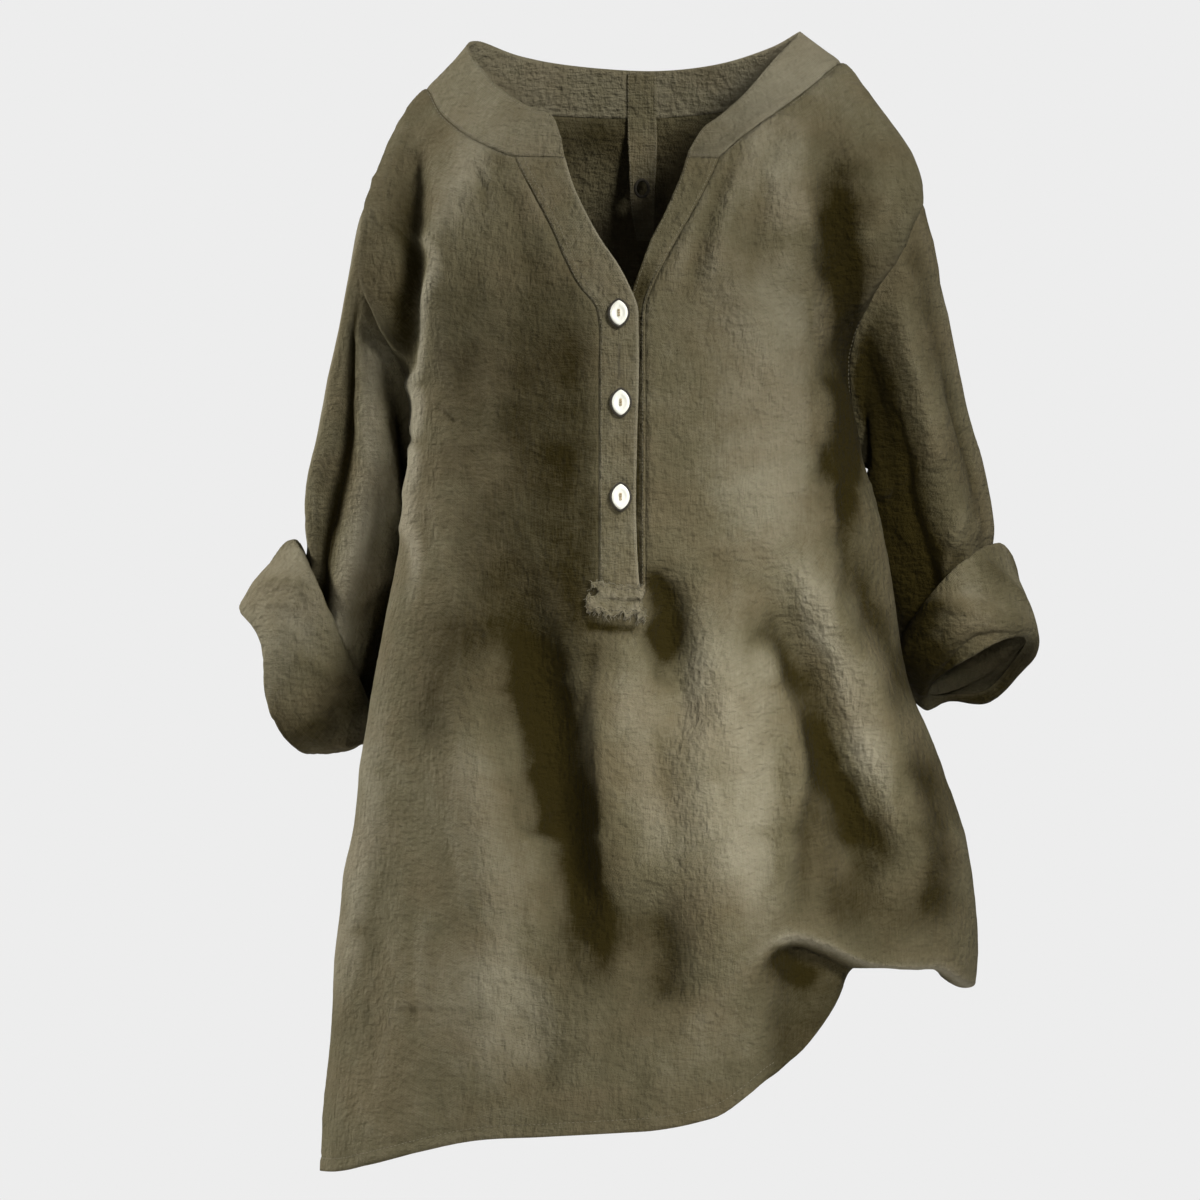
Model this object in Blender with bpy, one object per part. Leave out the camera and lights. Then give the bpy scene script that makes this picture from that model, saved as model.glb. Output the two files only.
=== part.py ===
"""V-neck popover blouse in olive linen, filled out with no wearer.

Every cloth piece is a wall of one thickness built on a grid of points. The
grids of neighbouring pieces share the points of their seam; each piece is then
drawn back from the seam by half the seam gap, so neighbours stay parallel.

Metres in the scene, millimetres in the tables. +Z up, the front faces -Y, +X is
the wearer's left. The origin is where the shoulders carry the garment, between
the two shoulder seams.
"""
import math

import bpy
import numpy as np

MM = 0.001

# ---------------------------------------------------------------- driving sizes
CLOTH = 1.6            # wall of a single layer
CUFF_CLOTH = 2.2       # wall of the turned-back cuff, several layers
STRIP_CLOTH = 1.2      # wall of the strip inside the centre back
SEAM_GAP = 0.34        # between neighbouring pieces
LAYER_GAP = 0.4        # between a piece and what lies on it
FLAT_SEAM = 0.9        # cosine of the bend up to which a seam's walls share a mitre
FULL_BEND = -0.6       # cosine at which both edges stand back no further
SHARP_EDGE = math.radians(50.0)

WRAP = math.radians(102.0)      # the side seam lies just behind the silhouette
SECTION_POWER = 2.25            # 2 is an ellipse, more is squarer
SHOULDER_ROUND = 95.0           # drop over which the shoulder rolls to the chest
SHOULDER_FALL = 2.2             # how fast it leaves the shoulder line
FOLD_FLARE = 0.06               # how much the folds stand off upwards
FOLD_START = 22.0               # drop below the neckline where they are full

SHOULDER_COLUMNS = 5
NECK_COLUMNS = 9
SLOT_COLUMNS = 3
OVER_COLUMNS = 3
BACK_NECK_COLUMNS = 12
ARMHOLE_ROWS = 10
SLOT_ROWS = 5
BODY_ROWS = 11
TURN_ROWS = 4
HEM_ROWS = 5
ARMHOLE_SHARE = 0.345           # of the way from shoulder point to the hem fold
SLOT_SHARE = 0.538              # of the way down the placket's own columns
SHOULDER_SHARE = 0.42           # of a half front that ends in the shoulder seam

BUTTON_LEVELS = (-164.9, -226.3, -291.2)
BUTTON_CENTRES = (-0.7, 0.7, 0.7)
BUTTON_WIDTH = 12.6
BUTTON_HEIGHT = 17.8
BUTTON_THICK = 2.4
BUTTON_SIDES = 20
BUTTON_SEAT = 0.2      # the placket curves away below the button by this much
BUTTON_POINT = 0.05    # how much its oval is drawn in between the points
BUTTON_STEP = 4.0      # the placket's slope is read this far each side of it


def table(columns, *rows):
    """Named columns over rows of numbers."""
    values = np.array(rows, dtype=float)
    return {name: values[:, i] for i, name in enumerate(columns)}


# ---------------------------------------------------------------- body tables
# Silhouette of the body in front view, level by level.
OUTLINE = table(
    ("level", "right_edge", "left_edge"),
    (-780, -208, 224), (-727, -205.6, 232), (-657, -199.4, 241), (-600, -194.5, 247),
    (-553, -189.8, 243), (-524, -184, 237.5), (-472, -177, 220.5), (-431, -171, 204),
    (-403, -166, 197), (-377, -161, 192), (-333, -152.5, 185), (-300, -148, 178),
    (-259, -141.5, 168.5), (-224, -138, 162.5), (-205, -140, 157), (-188, -150, 154.5),
    (-165, -163, 160), (-143, -172, 171), (-126, -175, 182), (-105, -176.5, 194),
    (-90, -177, 202), (-60, -170, 203), (-30, -158, 190), (0, -142, 172),
    (30, -132, 158),
)

# Depth of the section: centre front, centre back and the line of greatest width.
DEPTH = table(
    ("level", "front", "back", "side"),
    (-780, -146, 124, -25), (-680, -139, 117, -25), (-600, -133, 111, -25),
    (-520, -127, 105, -25), (-430, -122, 100, -25), (-340, -118, 97, -25),
    (-260, -114, 94, -25), (-200, -107, 90, -22), (-150, -98, 84, -18),
    (-100, -86, 74, -12), (-60, -73, 62, -6), (-30, -57, 50, 0), (30, -24, 30, 0),
)

# The slot that the placket closes: its seam on each side.
SLOT = table(
    ("level", "right_seam", "left_seam"),
    (-780, -14.5, 17.5), (-355, -14.5, 17.5), (-200, -14.5, 17.5), (-172, -14.6, 17.4),
    (-159, -17.5, 18), (-147, -27.5, 22), (-128, -38, 31), (-108, -46.5, 42),
    (-82, -60, 56.6), (-56.6, -72.5, 68.3), (30, -72.5, 68.3),
)

# Top edge of each half front: 0 is the placket seam, then the neckline up to the
# neck point, then the shoulder seam down to the shoulder point at 1.
TOP_RIGHT = table(
    ("along", "x", "y", "z"),
    (0.0, -72.5, -64, -56.6), (0.12, -84, -59, -52.5), (0.25, -98.5, -50, -45.5),
    (0.38, -112.5, -36, -36), (0.49, -124.5, -18, -24), (0.58, -133, 0, -9),
    (0.70, -146, 2, -22), (0.82, -155.5, 3, -41), (0.92, -162.5, 3, -63),
    (1.0, -170, 2, -86),
)
TOP_LEFT = table(
    ("along", "x", "y", "z"),
    (0.0, 68.3, -65, -56.6), (0.12, 80.5, -60, -45.5), (0.25, 98, -50, -32),
    (0.38, 116.5, -36, -19), (0.49, 135, -19, -4.5), (0.58, 152, 0, 9),
    (0.70, 165.5, 2, -3.5), (0.82, 179.5, 3, -25), (0.92, 191.5, 3, -51),
    (1.0, 202, 2, -79),
)
# Neckline of the back, from the right neck point to the left one.
TOP_BACK = table(
    ("along", "x", "y", "z"),
    (0.0, -133, 0, -9), (0.1, -122, 17, -15), (0.22, -98, 33, -20.5),
    (0.36, -58, 46, -25.5), (0.5, 2, 52, -28), (0.64, 62, 47, -25),
    (0.78, 112, 33, -13.5), (0.9, 139, 17, -1), (1.0, 152, 0, 9),
)

# Armholes, from the shoulder point to the underarm.
ARMHOLE_RIGHT_FRONT = table(
    ("along", "x", "y"),
    (0.0, -170, 2), (0.12, -172.5, -15), (0.25, -173, -25), (0.4, -169, -29),
    (0.52, -157, -26), (0.62, -148, -20), (0.75, -142.5, -11), (0.88, -140.5, -3),
    (1.0, -140.7, 3.5),
)
ARMHOLE_RIGHT_BACK = table(
    ("along", "x", "y"),
    (0.0, -170, 2), (0.12, -172.5, 21), (0.25, -172, 37), (0.4, -167, 48),
    (0.55, -159, 52), (0.7, -150, 46), (0.85, -143, 27), (1.0, -140.7, 3.5),
)
ARMHOLE_LEFT_FRONT = table(
    ("along", "x", "y"),
    (0.0, 202, 2), (0.12, 198, -16), (0.25, 188, -26), (0.4, 173, -29),
    (0.52, 163, -26), (0.62, 159, -20), (0.75, 159.5, -12), (0.88, 163, -3),
    (1.0, 166.6, 6.2),
)
ARMHOLE_LEFT_BACK = table(
    ("along", "x", "y"),
    (0.0, 202, 2), (0.12, 203, 22), (0.25, 200, 39), (0.4, 191, 50),
    (0.55, 181, 53), (0.7, 173.5, 45), (0.85, 169.5, 26), (1.0, 166.6, 6.2),
)

# Lower edge. "fold" is the line where the raised left side is turned under,
# "hem" the true hem, which climbs inside the garment left of the turn.
LOWER_FRONT = table(
    ("x", "fold", "hem"),
    (-215, -650, -757), (-206, -648, -756), (-188, -646, -756), (-166, -643, -751),
    (-130, -638, -741), (-98, -634, -734), (-52, -626, -731), (-8, -618, -728.5),
    (28, -612, -726), (55, -607, -721), (72, -603, -716), (92, -599, -702),
    (103, -594, -693), (113, -590.5, -687), (122, -590.5, -680), (131, -592.5, -673),
    (145, -598, -656), (161, -606, -632), (175, -611, -611), (188, -612.5, -596),
    (205, -613, -586), (224, -614, -582), (234, -620, -582), (244, -626, -582),
    (255, -628, -582),
)
LOWER_BACK = table(
    ("x", "fold", "hem"),
    (-215, -650, -755), (-206, -648, -754), (-160, -642, -738), (-98, -634, -722),
    (0, -620, -712), (60, -608, -700), (100, -598, -676), (130, -600, -650),
    (160, -606, -617), (188, -612, -596), (205, -613, -586), (224, -614, -582),
    (234, -620, -582), (244, -626, -582), (255, -628, -582),
)
TURN_START = 92.0      # x where the turn begins to lift off
TURN_FULL = 150.0      # x where it is full
TURN_DEPTH = 15.0      # how far in the turned cloth lies
TUCK_START = 160.0     # x from which the cloth past the fold climbs
TUCK_FULL = 192.0
TUCK_REACH = 26.0      # how far in it runs where it neither falls nor climbs
TUCK_CENTRE = 176.0
TUCK_SPREAD = 15.0
TURN_SAG = 4.5         # how low the turn's round edge hangs
TURN_SWING = 9.0       # how far its end falls at the start, and climbs when full
TURN_KEEP = 0.55       # share of the turn's depth that the hem keeps
TUCK_LEAN = 4.0        # how far the climbing hem leans in
HEM_STEP = 6.0         # row spacing where nothing is turned

# Main folds, as soft ridges (+) and troughs (-) between two points of the front
# view. "bend" bows the line sideways, "reach" is its half width.
FOLDS_FRONT = table(
    ("x0", "z0", "x1", "z1", "bend", "reach", "height"),
    (-142, -40, -143, -205, 2, 11, -12),       # hollow beside the right arm
    (-122, -60, -124, -300, 0, 16, 5),         # edge of the right front
    (-114, -390, -83, -640, 0, 24, 14),        # long light ridge on the right
    (-76, -335, -30, -600, -8, 21, -17),       # trough beside it
    (3, -395, -8, -560, 4, 16, 12),            # below the placket foot
    (31, -345, 48, -460, 0, 14, -12),          # dark hollow left of the foot
    (69, -375, 80, -640, 8, 29, 14),           # broad light ridge
    (103, -350, 168, -585, -14, 18, -14),      # trough to the hem turn
    (124, -335, 212, -570, -12, 16, 13),       # ridge towards the turned corner
    (24, -560, 30, -640, 0, 20, -10),          # hollow above the hem
    (60, -100, 118, -230, 0, 14, 6),           # drag from the left band
    (-50, -700, -90, -560, 0, 20, -8),
    (128, -448, 103, -588, 0, 9, 8),           # crease above the turn
    (140, -35, 150, -200, -4, 13, -9),         # hollow beside the left arm
    (-170, -520, -178, -700, 0, 15, -7),
)
FOLDS_BACK = table(
    ("x0", "z0", "x1", "z1", "bend", "reach", "height"),
    (-100, -130, -125, -420, 4, 22, -9),
    (-60, -260, -92, -640, -6, 22, 13),
    (-20, -200, -38, -620, 5, 20, -13),
    (30, -300, 30, -640, 0, 24, 11),
    (70, -170, 92, -560, -6, 22, -14),
    (112, -240, 160, -600, 0, 22, 12),
    (150, -330, 205, -590, -6, 17, -11),
    (-128, -420, -160, -640, 4, 18, -9),
    (-70, -60, -60, -180, 0, 20, 5),
    (80, -50, 84, -190, 0, 20, 5),
)

# ---------------------------------------------------------------- sleeve tables
# Sections of each sleeve below the armhole, to its end inside the cuff. "out"
# points to the outer silhouette, "fore" to the front.
RIGHT_LEAD = (-12, 1, -16)      # the sleeve's first step away from its armhole
LEFT_LEAD = (12, 2, -16)
SLEEVE_SPAN = 2                 # rows for each of a sleeve's sections
LEAD_SWING = 5                  # how much more it drops outside than underneath
RIGHT_SLEEVE = table(
    ("cx", "cy", "cz", "out_x", "out_z", "fore_y", "fore_z"),
    (-178, 18, -270, -27, 36, -41, 0),
    (-183, 33, -306, -32.5, 25, -44, 0), (-188, 40, -350, -29.5, 40, -43, 0),
    (-194.5, 44, -387, -22, 54, -42, 0), (-212, 44, -401, -21.5, 50, -41, -1),
    (-230, 43, -412, -21, 45, -40, -3),
)
LEFT_SLEEVE = table(
    ("cx", "cy", "cz", "out_x", "out_z", "fore_y", "fore_z"),
    (209, 16, -258, 29, 37, -42, 0),
    (216, 30, -290, 36, 20, -48, 2), (223, 34, -333, 36, 22, -48, 9),
    (230, 36, -366, 28, 29.5, -44.5, 15), (240, 34, -390, 31, 22, -42, 13),
    (247, 31, -407, 34, 17.5, -40, 11),
)
# Sections of each cuff, from the sleeve's end round the rim and back up.
RIGHT_CUFF = table(
    ("cx", "cy", "cz", "out_x", "out_z", "fore_y", "fore_z"),
    (-230, 43, -412, -21, 45, -40, -3), (-235, 43, -413, -22.5, 48, -43, -4),
    (-236.5, 43, -414, -24, 51, -46.5, -4), (-233, 43, -413, -25.5, 54, -50, -3.5),
    (-222, 43, -407, -29, 60, -53, -1.5), (-208, 44, -397, -29.5, 65, -53, 0),
    (-197, 44, -388, -29, 67, -51.5, 0), (-194, 44, -386, -27.5, 63, -49, 0),
)
LEFT_CUFF = table(
    ("cx", "cy", "cz", "out_x", "out_z", "fore_y", "fore_z"),
    (247, 31, -407, 34, 17.5, -40, 11), (249.5, 30.5, -410, 37.5, 19, -42.5, 12.5),
    (249.5, 30.5, -410.5, 40, 20.5, -46, 13.5), (247.5, 31, -407, 42, 22, -50, 14),
    (243, 32, -397.5, 43, 25, -54, 14.5), (237, 34, -384, 41, 29, -56, 16),
    (232, 36, -367, 35, 37.5, -55, 19.5), (231, 36, -364, 33, 35, -51.5, 18.5),
)
# Lengthwise folds of each sleeve: angle from the outer silhouette towards the
# front, at the top and at the end, and the stretch of the sleeve they run over.
FOLDS_RIGHT_SLEEVE = table(
    ("angle0", "angle1", "from", "to", "reach", "height"),
    (62, 52, 0.12, 0.98, 15, -9), (105, 96, 0.1, 0.9, 24, 5),
    (30, 24, 0.2, 0.9, 18, 4), (250, 262, 0.1, 0.85, 22, -5),
    (300, 310, 0.15, 0.9, 24, 4),
)
FOLDS_LEFT_SLEEVE = table(
    ("angle0", "angle1", "from", "to", "reach", "height"),
    (60, 72, 0.05, 0.95, 17, 6), (112, 118, 0.1, 0.98, 22, -8),
    (28, 34, 0.1, 0.9, 16, -4), (250, 240, 0.1, 0.85, 22, 5),
    (300, 292, 0.15, 0.9, 24, -5),
)

# ---------------------------------------------------------------- trim tables
# Top edge of the neckband, from its right end round the back to its left end.
BAND_TOP = table(
    ("along", "x", "y", "z"),
    (0.0, -40.5, -66, -44), (0.035, -46, -60.5, -29), (0.08, -58, -55, -24),
    (0.15, -72, -44, -16), (0.21, -86.5, -28, -5), (0.28, -104.5, 2, 20.5),
    (0.33, -97.5, 17, 24.5), (0.40, -70, 33, 15), (0.46, -38, 41, 8.8),
    (0.52, 5, 45, 5), (0.58, 40, 43, 5.3), (0.64, 76, 35, 11), (0.69, 106, 20, 21),
    (0.74, 124, 0, 30.5), (0.80, 108, -21, 13), (0.86, 89, -38, -9.5),
    (0.92, 70, -51, -27), (0.965, 56, -59, -38), (1.0, 47.5, -66, -52),
)
BAND_ROWS = 3
# Where the neckband's own stretches begin and end along it.
BAND_RIGHT_FRONT = (0.08, 0.28)
BAND_BACK = (0.28, 0.74)
BAND_LEFT_FRONT = (0.74, 0.93)

# Free edge of each placket strip.
OVER_EDGE = table(
    ("level", "x"),
    (-360, 14), (-339, 12.4), (-304, 11), (-251, 11.7), (-201, 13), (-172, 12.6),
    (-161, 12.2), (-147, 6.9), (-130, -2), (-114, -13), (-95, -23.5), (-77, -31.7),
    (-56.6, -38),
)
UNDER_EDGE = table(
    ("level", "x"),
    (-360, -9), (-200, -9), (-172, -6), (-155, 6), (-140, 11.5), (-125, 17),
    (-112, 22), (-99, 29), (-82, 36.6), (-66, 43), (-56.6, 46),
)
OVER_LIFT = 0.8         # how far the over-placket stands off the front
UNDER_DROP = 3.0        # how far the under-placket lies below it
UNDER_SHARES = (0.0, 0.35, 0.62, 0.84, 1.0)
UNDER_COVERED = (120, 150)      # drop over which the strips come to overlap
STRIPS_END = 1.4        # they end this far above the slot's lower end

# Frayed patch at the foot of the placket: its corners, then how ragged it is.
PATCH_TOP = ((-20.5, -349.5), (15.5, -352.5))
PATCH_FOOT = ((-22.5, -371.5), (17.5, -374.5))
PATCH_COLUMNS = 9
PATCH_ROWS = 4
PATCH_LIFT = 2.1
PATCH_RAGGED_SEED = 4
PATCH_RAGGED = table(
    ("inward", "outward"),
    (-1.5, 2.0),           # upper edge
    (-2.0, 4.0),           # lower edge
    (-1.0, 1.5),           # right edge
    (-1.0, 2.0),           # left edge
)

# Strip inside the centre back, from the neckband down; the two rows of cells
# about the eyelet's level are left open in the middle.
STRIP_CENTRE = 15.0
STRIP = table(
    ("level", "half_width", "lean"),
    (2.0, 10.0, 0.0), (-12.0, 10.0, 0.0), (-27.0, 10.0, 0.3), (-42.0, 10.2, 0.6),
    (-58.0, 9.6, 0.8), (-72.2, 9.0, 0.6), (-76.6, 8.8, 0.4), (-81.0, 8.7, 0.4),
    (-98.0, 7.6, 1.2), (-113.0, 6.0, 2.6),
)
STRIP_SHARES = (-1.0, -0.38, 0.0, 0.38, 1.0)
STRIP_HOLE = (5, 7, 1, 3)
STRIP_SEAT = (-24.0, 1.0)       # levels at which it lies on the neckband

# Button profile: how far out and how high each ring of its face lies.
BUTTON_PROFILE = table(
    ("reach", "height"),
    (0.0, 0.72), (0.42, 0.66), (0.62, 0.98), (0.84, 1.0), (1.0, 0.55), (0.97, 0.2),
    (0.82, 0.0), (0.0, 0.0),
)


# ---------------------------------------------------------------- mathematics
def curve(at, stations, values):
    """Smooth curve through the stations, read at the given places."""
    order = np.argsort(stations)
    s = stations[order]
    v = values[order]
    slope = np.gradient(v, s)
    at = np.clip(at, s[0], s[-1])
    i = np.clip(np.searchsorted(s, at, side="right") - 1, 0, len(s) - 2)
    width = s[i + 1] - s[i]
    h = (at - s[i]) / width
    rise = (1 + 2 * h) * (1 - h) ** 2 * v[i] + h * h * (3 - 2 * h) * v[i + 1]
    return rise + width * (h * (1 - h) ** 2 * slope[i] + h * h * (h - 1) * slope[i + 1])


def read(rows, by, *names):
    """Values of named columns of a table at the places given."""
    def value(at):
        found = [curve(np.asarray(at, dtype=float), rows[by], rows[name])
                 for name in names]
        return found[0] if len(found) == 1 else np.stack(found, axis=-1)
    return value


def ease(value, start, end):
    """0 before start, 1 after end, smooth between."""
    h = np.clip((np.asarray(value, dtype=float) - start) / (end - start), 0, 1)
    return h * h * (3 - 2 * h)


def mix(a, b, share):
    return a + (b - a) * share


right_edge = read(OUTLINE, "level", "right_edge")
left_edge = read(OUTLINE, "level", "left_edge")
slot_right = read(SLOT, "level", "right_seam")
slot_left = read(SLOT, "level", "left_seam")
front_depth = read(DEPTH, "level", "front")
back_depth = read(DEPTH, "level", "back")
side_depth = read(DEPTH, "level", "side")


# ---------------------------------------------------------------- body sections
def section(x, z, turn):
    """Depth of the body's section at x. turn is +1 in front of its widest line
    and -1 behind it."""
    low = right_edge(z)
    high = left_edge(z)
    across = np.clip(np.abs((x - (low + high) / 2) / ((high - low) / 2)), 0, 1)
    swell = (1 - across ** SECTION_POWER) ** (1 / SECTION_POWER)
    side = side_depth(z)
    forward = side + (front_depth(z) - side) * swell
    rearward = side + (back_depth(z) - side) * swell
    return np.where(np.asarray(turn) > 0, forward, rearward)


def section_normal(x, y, z, flare=FOLD_FLARE):
    """Outward direction of the section at a point of it."""
    low = right_edge(z)
    high = left_edge(z)
    side = side_depth(z)
    half = (high - low) / 2
    reach = np.where(y < side, side - front_depth(z), back_depth(z) - side)
    nx = (x - (low + high) / 2) / half ** 2
    ny = (y - side) / np.maximum(reach, 10.0) ** 2
    length = np.maximum(np.hypot(nx, ny), 1e-9)
    normal = np.stack([nx / length, ny / length, np.full_like(nx, flare)], axis=-1)
    return normal / np.linalg.norm(normal, axis=-1, keepdims=True)


def fold_height(x, z, folds):
    """Sum of the folds at a point of the front view, outward positive."""
    total = np.zeros_like(np.asarray(x, dtype=float))
    for x0, z0, x1, z1, bend, reach, height in zip(*folds.values()):
        length = math.hypot(x1 - x0, z1 - z0)
        ux, uz = (x1 - x0) / length, (z1 - z0) / length
        along = ((x - x0) * ux + (z - z0) * uz) / length
        aside = (x - x0) * uz - (z - z0) * ux
        aside = aside - bend * 4 * along * (1 - along)
        ends = ease(along, -0.12, 0.22) * (1 - ease(along, 0.78, 1.12))
        total = total + height * ends * np.exp(-(aside / reach) ** 2)
    return total


def lower_rows(x, start_z, hem, row):
    """Level and depth of a row past the fold line: the turn, then the hem."""
    lift = ease(x, TURN_START, TURN_FULL)
    tuck = ease(x, TUCK_START, TUCK_FULL)
    depth = TURN_DEPTH * lift
    if row <= TURN_ROWS:
        share = row / TURN_ROWS
        sink = depth * (0.5 - 0.5 * math.cos(math.pi * share))
        sag = TURN_SAG * lift * math.sin(math.pi * share)
        rise = mix(-TURN_SWING, TURN_SWING, tuck) * lift * share ** 2
        return start_z - sag + rise - (1 - lift) * HEM_STEP * row, sink
    share = (row - TURN_ROWS) / HEM_ROWS
    turned_z, _ = lower_rows(x, start_z, hem, TURN_ROWS)
    inward = TUCK_REACH * np.exp(-((x - TUCK_CENTRE) / TUCK_SPREAD) ** 2)
    kept = mix(1.0, mix(TURN_KEEP, 1.0, tuck), share)
    return mix(turned_z, hem, share), depth * kept + (inward + TUCK_LEAN * tuck) * share


# ---------------------------------------------------------------- front and back
def front_columns():
    """Columns of a half front, as shares from the placket seam to the side seam."""
    shoulder = np.linspace(1, 1 - SHOULDER_SHARE, SHOULDER_COLUMNS + 1)
    neck = np.linspace(1 - SHOULDER_SHARE, 0, NECK_COLUMNS + 1)[1:]
    return np.concatenate([shoulder, neck])


def upper_stations():
    """Shares of the way from top edge to fold line, shared by all body pieces."""
    arm = np.linspace(0, 1, ARMHOLE_ROWS + 1) ** 1.08 * ARMHOLE_SHARE
    slot = np.linspace(ARMHOLE_SHARE, SLOT_SHARE, SLOT_ROWS + 1)[1:]
    body = np.linspace(SLOT_SHARE, 1, BODY_ROWS + 1)[1:]
    return np.concatenate([arm, slot, body])


def half_front(share, stations, right):
    """Grid of one half of the front, from the placket seam to the side seam."""
    outer = 0 if right else -1
    edge = right_edge if right else left_edge
    seam = slot_right if right else slot_left
    top = read(TOP_RIGHT if right else TOP_LEFT, "along", "x", "y", "z")
    arm_table = ARMHOLE_RIGHT_FRONT if right else ARMHOLE_LEFT_FRONT
    armhole = read(arm_table, "along", "x", "y")
    fold = read(LOWER_FRONT, "x", "fold")

    def across(z):
        inner = seam(z)
        return inner + (edge(z) - inner) * np.sin(share * WRAP)

    def surface(z):
        x = across(z)
        return np.stack([x, section(x, z, np.where(share * WRAP < math.pi / 2, 1, -1)),
                         z], axis=-1)

    top_points = top(share)
    bottom = np.full_like(share, -600.0)
    for _ in range(6):
        bottom = fold(across(bottom))
    grid = []
    gather = ease(share, 0.55, 1.0)
    for station in stations:
        z = mix(top_points[:, 2], bottom, station)
        row = surface(z)
        if station < ARMHOLE_SHARE:
            target = armhole(station / ARMHOLE_SHARE)
            row[:, :2] += (target - row[outer, :2]) * gather[:, None]
        grid.append(row)
    grid = np.array(grid)
    pull = top_points - grid[0]
    drop = top_points[None, :, 2] - grid[:, :, 2]
    hold = np.clip(1 - drop / SHOULDER_ROUND, 0, 1) ** SHOULDER_FALL
    grid[:, :, :2] += pull[None, :, :2] * hold[..., None]
    return add_lower(grid, share, LOWER_FRONT, FOLDS_FRONT, surface)


def add_lower(grid, share, lower_table, folds, surface):
    """Adds the turn and hem rows, and the folds, to a grid of upper rows."""
    start = grid[-1]
    hem = read(lower_table, "x", "hem")(start[:, 0])
    rows = [dress(grid[k], share, folds, grid[0]) for k in range(len(grid))]
    for row in range(1, TURN_ROWS + HEM_ROWS + 1):
        z, sink = lower_rows(start[:, 0], start[:, 2], hem, row)
        flat = surface(z)
        base = dress(flat, share, folds, grid[0])
        normal = section_normal(flat[:, 0], flat[:, 1], flat[:, 2], 0.0)
        base[:, :2] -= normal[:, :2] * sink[:, None]
        rows.append(base)
    return np.array(rows)


def dress(row, share, folds, top_row):
    """A row with its folds, which fade at the seams."""
    normal = section_normal(row[:, 0], row[:, 1], row[:, 2])
    fade = 1 - ease(share, 0.84, 0.99)
    below = top_row[:, 2] - row[:, 2]
    fade = fade * (1 - np.exp(-(below / FOLD_START) ** 2))
    height = fold_height(row[:, 0], row[:, 2], folds) * fade
    return row + normal * height[:, None]


def front_grid(stations):
    """The whole front, right side seam to left side seam, slot columns too."""
    share = front_columns()
    right = half_front(share, stations, True)
    left = half_front(share[::-1], stations, False)
    middle = []
    for k in range(1, SLOT_COLUMNS):
        part = k / SLOT_COLUMNS
        band = mix(right[:, -1], left[:, 0], part)
        turned = section(band[:, 0], band[:, 2], 1)
        ends = mix(section(right[:, -1, 0], right[:, -1, 2], 1),
                   section(left[:, 0, 0], left[:, 0, 2], 1), part)
        band[:, 1] += turned - ends
        middle.append(band)
    return np.concatenate([right, np.array(middle).transpose(1, 0, 2), left], axis=1)


def back_grid(stations):
    """The whole back, from the right side seam to the left side seam."""
    ramp = np.linspace(0, 1, SHOULDER_COLUMNS + 1)
    right_top = read(TOP_RIGHT, "along", "x", "y", "z")(1 - ramp * SHOULDER_SHARE)
    left_top = read(TOP_LEFT, "along", "x", "y", "z")(1 - (1 - ramp) * SHOULDER_SHARE)
    neck_ramp = np.linspace(0, 1, BACK_NECK_COLUMNS + 1)[1:-1]
    neck = read(TOP_BACK, "along", "x", "y", "z")(neck_ramp)
    top_points = np.concatenate([right_top, neck, left_top])
    count = len(top_points)
    place = np.concatenate([ramp * 0.2, 0.2 + 0.6 * neck_ramp, 0.8 + ramp * 0.2])
    fold = read(LOWER_BACK, "x", "fold")
    lean = math.sin(WRAP)

    def across(z):
        low, high = right_edge(z), left_edge(z)
        centre, half = (low + high) / 2, (high - low) / 2
        inner_low = slot_right(z)
        inner_high = slot_left(z)
        first = inner_low + (low - inner_low) * lean
        last = inner_high + (high - inner_high) * lean
        a = -np.arcsin(np.clip((centre - first) / half, 0, 1))
        b = np.arcsin(np.clip((last - centre) / half, 0, 1))
        return centre + half * np.sin(mix(a, b, place))

    def surface(z):
        x = across(z)
        return np.stack([x, section(x, z, -1), z], axis=-1)

    bottom = np.full(count, -600.0)
    for _ in range(6):
        bottom = fold(across(bottom))
    arm_right = read(ARMHOLE_RIGHT_BACK, "along", "x", "y")
    arm_left = read(ARMHOLE_LEFT_BACK, "along", "x", "y")
    near_right = 1 - ease(place, 0.0, 0.24)
    near_left = ease(place, 0.76, 1.0)
    grid = []
    for station in stations:
        z = mix(top_points[:, 2], bottom, station)
        row = surface(z)
        if station < ARMHOLE_SHARE:
            to_right = arm_right(station / ARMHOLE_SHARE) - row[0, :2]
            to_left = arm_left(station / ARMHOLE_SHARE) - row[-1, :2]
            row[:, :2] += near_right[:, None] * to_right + near_left[:, None] * to_left
        grid.append(row)
    grid = np.array(grid)
    pull = top_points - grid[0]
    drop = top_points[None, :, 2] - grid[:, :, 2]
    hold = np.clip(1 - drop / SHOULDER_ROUND, 0, 1) ** SHOULDER_FALL
    grid[:, :, :2] += pull[None, :, :2] * hold[..., None]
    from_seam = 1 - 2 * np.minimum(place, 1 - place)
    return add_lower(grid, from_seam, LOWER_BACK, FOLDS_BACK, surface)


# ---------------------------------------------------------------- sleeves, cuffs
def ring(row, angles):
    """Points of one sleeve section, at angles from its outer silhouette."""
    cx, cy, cz, out_x, out_z, fore_y, fore_z = row
    c = np.cos(angles)
    s = np.sin(angles)
    return np.stack([cx + out_x * c, cy + fore_y * s, cz + out_z * c + fore_z * s],
                    axis=-1)


def table_rows(rows):
    """The table's rows, one tuple each."""
    return list(zip(*rows.values()))


def armhole_loop(front, back, right):
    """Seam points round an armhole: down the front, then up the back."""
    column = 0 if right else -1
    fore = front[:ARMHOLE_ROWS + 1, column]
    rear = back[1:ARMHOLE_ROWS, column][::-1]
    return np.concatenate([fore, rear])


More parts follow.
